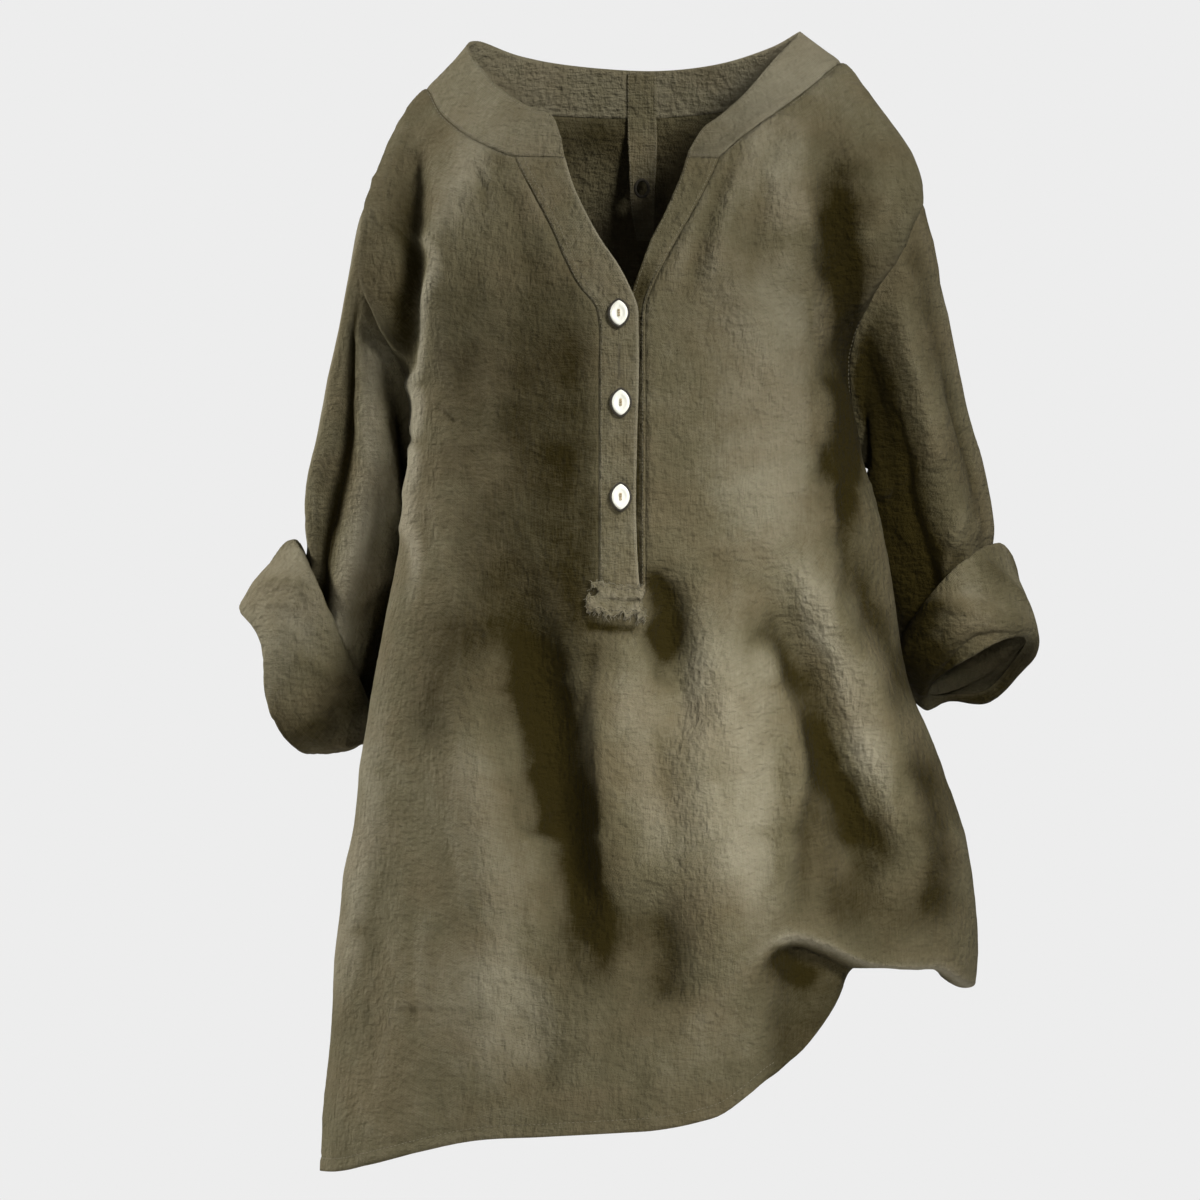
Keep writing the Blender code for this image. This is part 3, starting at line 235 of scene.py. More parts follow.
TUCK_CENTRE = 176.0
TUCK_SPREAD = 15.0
TURN_SAG = 4.5         # how low the turn's round edge hangs
TURN_SWING = 9.0       # how far its end falls at the start, and climbs when full
TURN_KEEP = 0.55       # share of the turn's depth that the hem keeps
TUCK_LEAN = 4.0        # how far the climbing hem leans in
HEM_DROP = 24.0        # drop of the turn rows where nothing is turned

# Main folds, as soft ridges (+) and troughs (-) between two points of the front
# view. "bend" bows the line sideways, "reach" is its half width.
FOLDS_FRONT = table(
    STROKE,
    (-142, -40, -143, -205, 2, 11, -12),       # hollow beside the right arm
    (-122, -60, -124, -300, 0, 16, 5),         # edge of the right front
    (-114, -390, -83, -640, 0, 24, 14),        # long light ridge on the right
    (-76, -335, -30, -600, -8, 21, -17),       # trough beside it
    (3, -395, -8, -560, 4, 16, 12),            # below the placket foot
    (31, -345, 48, -460, 0, 14, -12),          # dark hollow left of the foot
    (69, -375, 80, -640, 8, 29, 14),           # broad light ridge
    (103, -350, 168, -585, -14, 18, -14),      # trough to the hem turn
    (124, -335, 212, -570, -12, 16, 13),       # ridge towards the turned corner
    (24, -560, 30, -640, 0, 20, -10),          # hollow above the hem
    (60, -100, 118, -230, 0, 14, 6),           # drag from the left band
    (-50, -700, -90, -560, 0, 20, -8),
    (128, -448, 103, -588, 0, 9, 8),           # crease above the turn
    (140, -35, 150, -200, -4, 13, -9),         # hollow beside the left arm
    (-170, -520, -178, -700, 0, 15, -7),
)
FOLDS_BACK = table(
    STROKE,
    (-100, -130, -125, -420, 4, 22, -9),
    (-60, -260, -92, -640, -6, 22, 13),
    (-20, -200, -38, -620, 5, 20, -13),
    (30, -300, 30, -640, 0, 24, 11),
    (70, -170, 92, -560, -6, 22, -14),
    (112, -240, 160, -600, 0, 22, 12),
    (150, -330, 205, -590, -6, 17, -11),
    (-128, -420, -160, -640, 4, 18, -9),
    (-70, -60, -60, -180, 0, 20, 5),
    (80, -50, 84, -190, 0, 20, 5),
)

# ---------------------------------------------------------------- sleeve tables
# Sections of each sleeve below the armhole, to its end inside the cuff. "out"
# points to the outer silhouette, "fore" to the front.
RIGHT_LEAD = (-12, 1, -16)      # the sleeve's first step away from its armhole
LEFT_LEAD = (12, 2, -16)
LEAD_SWING = 5                  # how much more it drops outside than underneath
RIGHT_SLEEVE = table(
    RING,
    (-171, 18, -270, -34, 36, -41, 0),
    (-176, 33, -306, -39.5, 25, -44, 0), (-188, 40, -350, -29.5, 40, -43, 0),
    (-194.5, 44, -387, -22, 54, -42, 0), (-212, 44, -401, -21.5, 50, -41, -1),
    (-230, 43, -412, -21, 45, -40, -3),
)
LEFT_SLEEVE = table(
    RING,
    (201, 16, -258, 37, 37, -42, 0),
    (205, 30, -290, 47, 20, -48, 2), (218, 34, -333, 41, 22, -48, 9),
    (228, 36, -366, 30, 29.5, -44.5, 15), (240, 34, -390, 31, 22, -42, 13),
    (247, 31, -407, 34, 17.5, -40, 11),
)
# Sections of each cuff, from the sleeve's end round the rim and back up.
RIGHT_CUFF = table(
    RING,
    (-230, 43, -412, -21, 45, -40, -3), (-235, 43, -413, -22.5, 48, -43, -4),
    (-236.5, 43, -414, -24, 51, -46.5, -4), (-233, 43, -413, -25.5, 54, -50, -3.5),
    (-222, 43, -407, -29, 60, -53, -1.5), (-208, 44, -397, -29.5, 65, -53, 0),
    (-197, 44, -388, -29, 67, -51.5, 0), (-194, 44, -386, -27.5, 63, -49, 0),
)
LEFT_CUFF = table(
    RING,
    (247, 31, -407, 34, 17.5, -40, 11), (249.5, 30.5, -410, 37.5, 19, -42.5, 12.5),
    (249.5, 30.5, -410.5, 40, 20.5, -46, 13.5), (247.5, 31, -407, 42, 22, -50, 14),
    (242, 32, -397.5, 44, 25, -54, 14.5), (234.5, 34, -384, 43.5, 29, -56, 16),
    (228.5, 36, -367, 38.5, 37.5, -55, 19.5), (227.5, 36, -364, 36.5, 35, -51.5, 18.5),
)
# Lengthwise folds of each sleeve: angle from the outer silhouette towards the
# front, at the top and at the end, and the stretch of the sleeve they run over.
FOLDS_RIGHT_SLEEVE = table(
    LENGTHWISE,
    (62, 52, 0.12, 0.98, 15, -9), (105, 96, 0.1, 0.9, 24, 5),
    (30, 24, 0.2, 0.9, 18, 4), (250, 262, 0.1, 0.85, 22, -5),
    (300, 310, 0.15, 0.9, 24, 4),
)
FOLDS_LEFT_SLEEVE = table(
    LENGTHWISE,
    (60, 72, 0.05, 0.95, 17, 6), (112, 118, 0.1, 0.98, 22, -8),
    (28, 34, 0.1, 0.9, 16, -4), (250, 240, 0.1, 0.85, 22, 5),
    (300, 292, 0.15, 0.9, 24, -5),
)

# ---------------------------------------------------------------- trim tables
# Top edge of the neckband, from its right end round the back to its left end.
BAND_TOP = table(
    PATH,
    (0, -40.5, -66, -44), (0.035, -46, -60.5, -29), (0.08, -58, -55, -24),
    (0.15, -72, -44, -16), (0.21, -86.5, -28, -5), (0.28, -104.5, 2, 20.5),
    (0.33, -97.5, 17, 24.5), (0.4, -70, 33, 15), (0.46, -38, 41, 8.8),
    (0.52, 5, 45, 5), (0.58, 40, 43, 5.3), (0.64, 76, 35, 11), (0.69, 106, 20, 21),
    (0.74, 124, 0, 30.5), (0.8, 108, -21, 13), (0.86, 89, -38, -9.5),
    (0.92, 70, -51, -27), (0.965, 56, -59, -38), (1, 47.5, -66, -52),
)
# Where the neckband's own stretches begin and end along it.
BAND_RIGHT_FRONT = (0.08, 0.28)
BAND_BACK = (0.28, 0.74)
BAND_LEFT_FRONT = (0.74, 0.93)

# Free edge of each placket strip.
OVER_EDGE = table(
    ("level", "x"),
    (-360, 14), (-339, 12.4), (-304, 11), (-251, 11.7), (-201, 13), (-172, 12.6),
    (-161, 12.2), (-147, 6.9), (-130, -2), (-114, -13), (-95, -23.5), (-77, -31.7),
    (-56.6, -38),
)
UNDER_EDGE = table(
    ("level", "x"),
    (-360, -9), (-200, -9), (-172, -6), (-155, 6), (-140, 11.5), (-125, 17),
    (-112, 22), (-99, 29), (-82, 36.6), (-66, 43), (-56.6, 46),
)
OVER_LIFT = 1.2         # how far the over-placket stands off the front
UNDER_DROP = 4.0        # how far the under-placket lies below it
UNDER_SHARES = (0.0, 0.35, 0.62, 0.84, 1.0)
UNDER_COVERED = (120, 150)      # drop over which the strips come to overlap

# Creases that only the surface shows: two ends in the front view, bow, half width
# and height.
CREASES_FRONT = table(
    STROKE,
    (-164, -645, -62, -649, -2, 2.2, -0.8),     # press line above the hem
    (-164, -641, -62, -645, -2, 4, 0.6),
    (-66, -690, -18, -667, 1, 3, -1.5),
    (-141, -548, -143, -684, 1, 4.5, -1.6),
    (-134, -560, -137, -676, 1, 5, 1.2),
    (-160, -664, -177, -744, 0, 3.6, 1.6),
    (-15, -388, -32, -462, 1, 3.2, -2.2),       # pulls below the placket
    (4, -392, 1, -440, 0, 4, 1.6),
    (24, -455, 37, -532, -1, 3.4, -2),
    (16, -384, 30, -420, 1, 4, -2.6),
    (-116, -168, -17, -168, 0, 2, 0.9),       # old press lines over the chest
    (21, -168, 99, -170, 0, 2, 0.9),
    (48, -235, 162, -242, 0, 2.2, -0.9),
    (-120, -262, -24, -258, 0, 2.4, -0.6),
    (20, -292, 120, -300, 0, 2.4, 0.6),
    (66, -62, 35, -148, 2, 4.5, 2.2),           # drags from the left band
    (76, -58, 46, -150, 2, 4, -1.9),
    (88, -52, 60, -152, 2, 5, 2.4),
    (106, -46, 86, -150, 2, 6, -2),
    (124, -36, 112, -150, 2, 7, 2),
    (-68, -62, -42, -150, -2, 4.5, 1.6),        # and from the right band
    (-84, -58, -62, -146, -2, 5, -1.5),
    (-104, -60, -101, -90, 2, 4, 2.4),        # rumpled spots
    (-97, -66, -93, -96, -1, 3.2, -2.2),
    (-132, -216, -116, -233, 1, 3.6, 2.6),
    (-128, -226, -112, -240, -1, 3.2, -2.2),
    (152, -268, 147, -358, 2, 4.2, 2.8),        # rough crease beside the left arm
    (159, -274, 155, -356, -2, 3.4, -2.6),
    (165, -300, 160, -352, 1, 3.4, 2),
    (143, -250, 139, -300, 1, 3.6, -1.8),
    (-38, -480, -66, -560, 3, 6, 1.8),
    (-92, -420, -76, -540, -3, 7, -1.6),
    (62, -410, 76, -520, 2, 6.5, -1.7),
    (98, -400, 128, -500, -3, 6, 1.8),
    (138, -470, 176, -566, 2, 5.5, -1.8),
    (150, -420, 190, -520, -2, 5, 1.5),
    (8, -600, -30, -690, 2, 6.5, 1.8),
    (44, -640, 6, -718, 2, 5.5, -1.5),
    (-96, -640, -104, -722, 0, 5.5, -1.4),
    (94, -600, 40, -668, -4, 7, 2),         # fan below the turned hem
    (100, -612, 62, -690, -3, 5, -1.8),
    (110, -604, 84, -676, -3, 5, 1.6),
)
CREASES_BACK = table(
    STROKE,
    (-120, -190, 118, -196, 2, 2.2, 0.9),
    (-126, -398, 136, -404, -2, 2.4, -0.8),
    (-70, -70, -44, -150, -2, 5, 1.8),
    (76, -66, 52, -150, 2, 5, 1.8),
    (-98, -240, -112, -330, 2, 5, 2.2),
    (-36, -330, -44, -430, 2, 4, -1.8),
    (12, -280, 6, -360, -2, 5, 1.6),
    (60, -300, 74, -410, -2, 4.6, -2),
    (104, -360, 122, -470, 2, 4.6, 2),
    (-80, -470, -96, -580, 2, 5.4, -1.9),
    (-10, -500, -18, -610, -2, 5, 2.1),
    (48, -480, 54, -570, 2, 4.4, -1.7),
    (150, -420, 176, -530, -2, 5, 1.7),
    (-150, -560, -158, -680, 2, 5, 1.8),
    (-60, -620, -64, -700, 0, 4.6, -1.5),
)
# Creases round each sleeve and cuff: where they start and end, by the angle from
# the outer silhouette towards the front and by the share of the length.
CREASES_RIGHT_SLEEVE = table(
    ROUND,
    (58, 0.14, 50, 0.96, 4, -3.4), (128, 0.62, 84, 0.84, 5.5, -2.6),
    (140, 0.54, 100, 0.74, 5, 2), (118, 0.7, 70, 0.9, 5, 2.2),
    (30, 0.4, 44, 0.62, 5, 1.8), (112, 0.2, 122, 0.46, 6, 2),
    (96, 0.34, 104, 0.6, 5, -1.6), (220, 0.3, 240, 0.6, 6, -2.2),
    (280, 0.2, 262, 0.5, 6, 2.2), (320, 0.5, 300, 0.8, 6, -2),
    (200, 0.6, 250, 0.8, 5, 2), (10, 0.66, 30, 0.86, 4.6, -1.8),
)
CREASES_LEFT_SLEEVE = table(
    ROUND,
    (68, 0.1, 74, 0.5, 5, 2.2), (96, 0.3, 104, 0.9, 5, -2.4),
    (40, 0.3, 30, 0.7, 5, -1.8), (60, 0.6, 96, 0.82, 5, 2),
    (20, 0.5, 52, 0.72, 4.6, 1.7), (130, 0.4, 112, 0.66, 6, 1.8),
    (220, 0.2, 236, 0.52, 6, -2.2), (262, 0.4, 284, 0.7, 6, 2.2),
    (310, 0.26, 296, 0.56, 6, -2), (340, 0.6, 318, 0.86, 5, 2),
    (200, 0.6, 244, 0.82, 5, -2), (84, 0.7, 60, 0.94, 4.6, -1.9),
)
CREASES_CUFF = table(
    ROUND,
    (20, 0.42, 60, 0.86, 4, -1.7), (50, 0.4, 84, 0.74, 4.4, 1.8),
    (84, 0.46, 122, 0.92, 4, -1.8), (112, 0.4, 140, 0.7, 4.4, 1.6),
    (150, 0.52, 176, 0.9, 4.4, -1.4), (200, 0.44, 236, 0.8, 4.4, 1.7),
    (250, 0.5, 282, 0.92, 4, -1.7), (300, 0.4, 332, 0.78, 4.4, 1.7),
    (336, 0.55, 370, 0.94, 4, -1.5), (66, 0.6, 70, 0.98, 3.4, 1.2),
)

# Painted light (above 0) and painted shade (below 0) on the front, by strokes that also
# raise and sink the cloth: ridges of its folds are painted paler than its troughs.
PAINTED_SHADE_FRONT = table(
    STROKE,
    (-78, -120, -62, -430, 0, 44, -0.72),       # right chest
    (-30, -150, -24, -420, 0, 20, -0.55),
    (98, -130, 106, -330, 0, 34, 0.55),         # left chest
    (150, -50, 160, -330, -3, 17, -1.3),       # beside the left arm
    (168, -320, 205, -440, 0, 14, -0.8),
    (214, -455, 226, -590, 0, 17, -0.9),
    (-112, -440, -55, -668, 3, 19, 0.45),       # folds below the chest
    (-66, -380, -12, -628, -4, 20, -1.35),
    (8, -410, 30, -545, 2, 15, 0.45),
    (27, -335, 36, -405, 0, 9, -1.3),
    (60, -372, 92, -592, 6, 26, 0.8),
    (92, -368, 132, -440, 0, 13, -1),
    (127, -436, 180, -546, 2, 13, -1.25),
    (118, -330, 190, -505, -4, 13, 0.55),
    (24, -575, 36, -640, 0, 17, -0.7),
    (-90, -30, -128, -110, 0, 14, 0.55),        # shoulders
    (96, -20, 112, -110, 0, 18, 0.6),
    (-142, -60, -144, -205, 2, 10, -0.8),
    (-150, -600, -60, -690, 0, 26, 0.25),
    (-130, -110, -142, -350, 2, 5, 1.5),       # lit edges of the right side
    (-160, -420, -196, -640, 0, 9, 0.45),
    (-20, -377, 17, -380, 0, 4, -0.8),         # under the patch
    (-112, -360, -130, -470, 2, 24, -0.6), (-55, -478, -47, -525, 0, 14, -0.85),
    (31, -372, 38, -424, 0, 9, -0.6),
    (137, -440, 118, -586, 0, 11, -0.6), (142, -500, 150, -590, 0, 20, -0.4),
    (-96, -600, -74, -684, 2, 22, 0.5),
    (160, -545, 204, -592, 4, 24, -0.4),
    (124, -336, 186, -486, 3, 11, 0.32),
    (96, -381, 90, -578, 1, 13, 0.25), (-168, -500, -190, -640, 1, 10, 0.35),
    (-78, -120, -92, -300, 1, 16, 0.25),
    (98, -604, 134, -626, 3, 8, -1),        # beside the turned hem
    (20, -690, 110, -650, -6, 20, 0.2),
)
# Strokes of painted light and shade on the back, which also raise and sink it.
PAINTED_SHADE_BACK = table(
    STROKE,
    (-100, -130, -125, -420, 4, 24, -0.7), (-60, -260, -92, -640, -6, 24, 0.6),
    (-20, -200, -38, -620, 5, 20, -0.9), (30, -300, 30, -640, 0, 26, 0.5),
    (70, -170, 92, -560, -6, 22, -0.9), (112, -240, 160, -600, 0, 24, 0.6),
    (150, -330, 205, -590, -6, 17, -0.8), (-70, -46, 70, -46, 0, 34, -0.5),
)

# Strokes of painted light (above 0) and painted shade (below 0) along the sleeves and
# cuffs, by angle from the outer silhouette towards the front and by share of the length.
PAINTED_SHADE_RIGHT_SLEEVE = table(
    LENGTHWISE,
    (62, 53, 0.1, 1, 8, -1.8), (92, 86, 0.05, 1, 14, 0.9),
    (35, 30, 0.1, 1, 12, -0.3), (138, 140, 0.1, 1, 15, -1.9),
    (12, 10, 0.05, 1, 13, 0.65), (250, 262, 0.1, 0.9, 22, -0.7),
    (300, 310, 0.1, 0.9, 24, 0.4),
)
PAINTED_SHADE_LEFT_SLEEVE = table(
    LENGTHWISE,
    (124, 116, 0.04, 1, 42, -2.3), (64, 74, 0.05, 1, 9, 0.2),
    (36, 40, 0.1, 1, 14, -0.55), (10, 10, 0, 1, 12, 0.15),
    (250, 240, 0.1, 0.85, 22, 0.5), (300, 292, 0.15, 0.9, 24, -0.7),
)
PAINTED_SHADE_RIGHT_CUFF = table(
    LENGTHWISE,
    (56, 56, 0, 1, 40, 0.7), (128, 128, 0, 1, 20, -0.9),
    (10, 10, 0, 1, 24, 0.5), (240, 240, 0, 1, 40, -0.3),
)
PAINTED_SHADE_LEFT_CUFF = table(
    LENGTHWISE,
    (84, 84, 0.4, 1, 16, 0.45), (140, 140, 0, 1, 38, -1.9),
    (48, 48, 0, 1, 16, -0.35), (20, 20, 0, 1, 16, 0.15),
    (270, 270, 0, 0.45, 70, -1.2),
)
# How each cuff's rim bends: angle, half width and reach along the cuff's axis.
RIM_RIGHT = (110.0, 42.0, 14.0)
RIM_LEFT = (84.0, 46.0, -12.0)
RIM_WAVES = ((3, 1.0, 0.2), (5, 0.0, 0.12))    # waves round it: count, start and share

# ---------------------------------------------------------------- mathematics
def curve(at: Array, stations: Array, values: Array) -> Array:
    """Smooth curve through the stations, read at the given places."""
    order = np.argsort(stations)
    s = stations[order]
    v = values[order]
    slope = np.gradient(v, s)
    at = np.clip(at, s[0], s[-1])
    i = np.clip(np.searchsorted(s, at, side="right") - 1, 0, len(s) - 2)
    width = s[i + 1] - s[i]
    h = (at - s[i]) / width
    rise = (1 + 2 * h) * (1 - h) ** 2 * v[i] + h * h * (3 - 2 * h) * v[i + 1]
    return rise + width * (h * (1 - h) ** 2 * slope[i] + h * h * (h - 1) * slope[i + 1])


def read(rows: Table, by: str, *names: str) -> Callable[[Array], Array]:
    """A function that reads named columns of a table at any places.

    Args:
        rows: The table.
        by: The column that holds the places.
        names: The columns to read.

    Returns:
        The reader: one array for one name, otherwise the values side by side.
    """
    def value(at: Array) -> Array:
        """Values at the places."""
        at = np.asarray(at, dtype=float)
        found = [curve(at, rows[by], rows[name]) for name in names]
        return found[0] if len(found) == 1 else np.stack(found, axis=-1)
    return value


def ease(value: Array | float, start: float, end: float) -> Array:
    """0 before start, 1 after end, smooth between."""
    h = np.clip((np.asarray(value, dtype=float) - start) / (end - start), 0, 1)
    return h * h * (3 - 2 * h)


def stretch(way: Array, start: float, end: float, before: float, inside: float) -> Array:
    """1 along a stretch and 0 away from it, smooth from before to inside its ends."""
    return ease(way, start - before, start + inside) * (
        1 - ease(way, end - inside, end + before))


def bell(distance: Array, reach: Array | float) -> Array:
    """1 at no distance, falling smoothly to little past the reach."""
    return np.exp(-(distance / reach) ** 2)


def aside_of(angles: Array, middle: Array | float) -> Array:
    """Degrees from a middle angle to the angles, the shorter way round."""
    return (np.degrees(angles) - middle + 180) % 360 - 180


def mix(a: Array | float, b: Array | float, share: Array | float) -> Array:
    """The value at a share of the way from a to b."""
    return a + (b - a) * share


def round_angles(count: int) -> Array:
    """Angles of that many points round a circle."""
    return np.linspace(0, 2 * math.pi, count + 1)[:-1]


def unit(vectors: Array) -> Array:
    """The vectors at length 1."""
    length = np.linalg.norm(vectors, axis=-1, keepdims=True)
    return vectors / np.maximum(length, 1e-9)


right_edge = read(OUTLINE, "level", "right_edge")
left_edge = read(OUTLINE, "level", "left_edge")
slot_right = read(SLOT, "level", "right_seam")
slot_left = read(SLOT, "level", "left_seam")
front_depth = read(DEPTH, "level", "front")
back_depth = read(DEPTH, "level", "back")
side_depth = read(DEPTH, "level", "side")


class Noise:
    """Seeded smooth noise in space, from 0 to 1."""

    SIZE = 32

    def __init__(self, seed: int) -> None:
        """Fills the lattice.

        Args:
            seed: Fixes its values.
        """
        self.lattice = np.random.default_rng(seed).random((self.SIZE,) * 3)

    def at(self, points: Array, scale: Sequence[float]) -> Array:
        """Noise at points in millimetres, with features of the given size."""
        p = points / np.array(scale) + 100.0
        i = np.floor(p).astype(int)
        h = p - i
        h = h * h * (3 - 2 * h)
        total = np.zeros(points.shape[:-1])
        for corner in np.ndindex(2, 2, 2):
            weight = np.where(corner, h, 1 - h).prod(axis=-1)
            total += weight * self.lattice[tuple(np.moveaxis((i + corner) % self.SIZE, -1, 0))]
        return total

    def ridges(self, points: Array, scale: Sequence[float], sharp: float = 2.0) -> Array:
        """Thin ridges between the noise's two halves, 0 to 1."""
        return (1 - np.abs(2 * self.at(points, scale) - 1)) ** sharp


# ---------------------------------------------------------------- body sections
def section(x: Array, z: Array, turn: Array | float) -> Array:
    """Depth of the body's section: turn is +1 before its widest line, -1 behind."""
    low = right_edge(z)
    high = left_edge(z)
    across = np.clip(np.abs((x - (low + high) / 2) / ((high - low) / 2)), 0, 1)
    swell = (1 - across ** SECTION_POWER) ** (1 / SECTION_POWER)
    side = side_depth(z)
    forward = side + (front_depth(z) - side) * swell
    rearward = side + (back_depth(z) - side) * swell
    return np.where(np.asarray(turn) > 0, forward, rearward)


def section_normal(x: Array, y: Array, z: Array, flare: float = FOLD_FLARE) -> Array:
    """Outward direction of the section at a point of it."""
    low = right_edge(z)
    high = left_edge(z)
    side = side_depth(z)
    half = (high - low) / 2
    reach = np.where(y < side, side - front_depth(z), back_depth(z) - side)
    nx = (x - (low + high) / 2) / half ** 2
    ny = (y - side) / np.maximum(reach, 10.0) ** 2
    length = np.maximum(np.hypot(nx, ny), 1e-9)
    return unit(np.stack([nx / length, ny / length, np.full_like(nx, flare)], axis=-1))


def fold_height(x: Array, z: Array, folds: Table) -> Array:
    """Sum of the folds at points of the front view, outward positive."""
    total = np.zeros_like(np.asarray(x, dtype=float))
    for x0, z0, x1, z1, bend, reach, height in zip(*folds.values()):
        length = math.hypot(x1 - x0, z1 - z0)
        ux, uz = (x1 - x0) / length, (z1 - z0) / length
        along = ((x - x0) * ux + (z - z0) * uz) / length
        aside = (x - x0) * uz - (z - z0) * ux - bend * 4 * along * (1 - along)
        total = total + height * stretch(along, 0, 1, *FOLD_ENDS) * bell(aside, reach)
    return total


def lower_rows(x: Array, start_z: Array, hem: Array, row: int) -> tuple[Array, Array]:
    """Level and depth of a row past the fold line.

    Args:
        x: Where the row's points lie across the garment.
        start_z: Their level on the fold line.
        hem: Level of the hem below them.
        row: Which row it is, the turn's first.

    Returns:
        The level of each point, and how far inward it lies.
    """
    lift = ease(x, TURN_START, TURN_FULL)
    tuck = ease(x, TUCK_START, TUCK_FULL)
    depth = TURN_DEPTH * lift
    if row <= COUNTS.turn:
        share = row / COUNTS.turn
        sink = depth * (0.5 - 0.5 * math.cos(math.pi * share))
        sag = TURN_SAG * lift * math.sin(math.pi * share)
        rise = mix(-TURN_SWING, TURN_SWING, tuck) * lift * share ** 2
        return start_z - sag + rise - (1 - lift) * HEM_DROP * share, sink
    share = (row - COUNTS.turn) / COUNTS.hem
    turned_z, _ = lower_rows(x, start_z, hem, COUNTS.turn)
    inward = TUCK_REACH * bell(x - TUCK_CENTRE, TUCK_SPREAD) + TUCK_LEAN * tuck
    kept = mix(1.0, mix(TURN_KEEP, 1.0, tuck), share)
    return mix(turned_z, hem, share), depth * kept + inward * share


def front_columns() -> Array:
    """Columns of a half front, as shares from the placket seam to the side seam."""
    shoulder = np.linspace(1, 1 - SHOULDER_SHARE, COUNTS.shoulder + 1)
    neck = np.linspace(1 - SHOULDER_SHARE, 0, COUNTS.neck + 1)[1:]
    return np.concatenate([shoulder, neck])


def upper_stations() -> Array:
    """Shares of the way from top edge to fold line, shared by all body pieces."""
    arm = np.linspace(0, 1, COUNTS.armhole + 1) ** ARMHOLE_CROWDS * ARMHOLE_SHARE
    slot = np.linspace(ARMHOLE_SHARE, SLOT_SHARE, COUNTS.slot_rows + 1)[1:]
    body = np.linspace(SLOT_SHARE, 1, COUNTS.body + 1)[1:]
    return np.concatenate([arm, slot, body])


@dataclass
class Panel:
    """Plan of a body piece, from its top edge to its hem.

    Attributes:
        top: Points of its top edge.
        across: Gives where its columns lie at their levels.
        turn: Which half of the section each column lies on, as section() has it.
        pulls: For each armhole its table, its column and how far each column follows.
        near_side: How near each column is to its side seam, 1 at the seam.
        lower: Fold line and hem.
        folds: The folds.
    """

    top: Array
    across: Callable[[Array], Array]
    turn: Array | int
    pulls: Sequence[tuple[Table, int, Array]]
    near_side: Array
    lower: Table
    folds: Table

    def surface(self, z: Array) -> Array:
        """Points of the plain surface at these levels."""
        x = self.across(z)
        return np.stack([x, section(x, z, self.turn), z], axis=-1)

    def dress(self, row: Array) -> Array:
        """A row with its folds, which fade at the seams."""
        fade = 1 - ease(self.near_side, *FOLDS_FADE)
        fade = fade * (1 - bell(self.top[:, 2] - row[:, 2], FOLD_START))
        height = fold_height(row[:, 0], row[:, 2], self.folds) * fade
        return row + section_normal(*row.T) * height[:, None]

    def upper_rows(self, stations: Array) -> Array:
        """Rows down to the fold line, without folds.

        Args:
            stations: Shares of the way from the top edge.

        Returns:
            The rows, drawn over to the true top edge, which they leave further down.
        """
        fold = read(self.lower, "x", "fold")
        bottom = np.full(len(self.top), FOLD_GUESS)
        for _ in range(FOLD_ROUNDS):
            bottom = fold(self.across(bottom))
        grid = []
        for station in stations:
            row = self.surface(mix(self.top[:, 2], bottom, station))
            if station < ARMHOLE_SHARE:
                row[:, :2] += sum(
                    (read(armhole, *ARMHOLE)(station / ARMHOLE_SHARE) - row[column, :2])
                    * follow[:, None] for armhole, column, follow in self.pulls)
            grid.append(row)
        grid = np.array(grid)
        drop = self.top[None, :, 2] - grid[:, :, 2]
        hold = np.clip(1 - drop / SHOULDER_ROUND, 0, 1) ** SHOULDER_FALL
        grid[:, :, :2] += (self.top - grid[0])[None, :, :2] * hold[..., None]
        return grid

    def grid(self, stations: Array) -> Array:
        """All rows: down to the fold line, round the turn and on to the hem."""
        upper = self.upper_rows(stations)
        x, _, start_z = upper[-1].T
        hem = read(self.lower, "x", "hem")(x)
        rows = [self.dress(row) for row in upper]
        for row in range(1, COUNTS.turn + COUNTS.hem + 1):
            z, sink = lower_rows(x, start_z, hem, row)
            flat = self.surface(z)
            base = self.dress(flat)
            base[:, :2] -= section_normal(*flat.T, 0.0)[:, :2] * sink[:, None]
            rows.append(base)
        return np.array(rows)


def half_front(share: Array, right: bool) -> Panel:
    """Plan of one half of the front.

    Args:
        share: Share of the way from the placket seam to the side seam of each column.
        right: Whether it is the wearer's right half.

    Returns:
        The plan.
    """
    edge, seam, top, armhole, outer = (
        (right_edge, slot_right, TOP_RIGHT, ARMHOLE_RIGHT_FRONT, 0) if right else
        (left_edge, slot_left, TOP_LEFT, ARMHOLE_LEFT_FRONT, -1))

    def across(z: Array) -> Array:
        """Where the columns lie at these levels."""
        return mix(seam(z), edge(z), np.sin(share * WRAP))

    return Panel(
        top=read(top, *PATH)(share), across=across,
        turn=np.where(share * WRAP < math.pi / 2, 1, -1),
        pulls=[(armhole, outer, ease(share, *FRONT_FOLLOWS))],
        near_side=share, lower=LOWER_FRONT, folds=FOLDS_FRONT)


def front_grid(stations: Array) -> Array:
    """The whole front, right side seam to left side seam, slot columns too."""
    share = front_columns()
    right = half_front(share, True).grid(stations)
    left = half_front(share[::-1], False).grid(stations)
    seams = right[:, -1], left[:, 0]
    middle = []
    for part in np.linspace(0, 1, COUNTS.slot + 1)[1:-1]:
        band = mix(*seams, part)
        band[:, 1] += section(band[:, 0], band[:, 2], 1) - mix(
            *(section(seam[:, 0], seam[:, 2], 1) for seam in seams), part)
        middle.append(band)
    return np.concatenate([right, np.stack(middle, axis=1), left], axis=1)


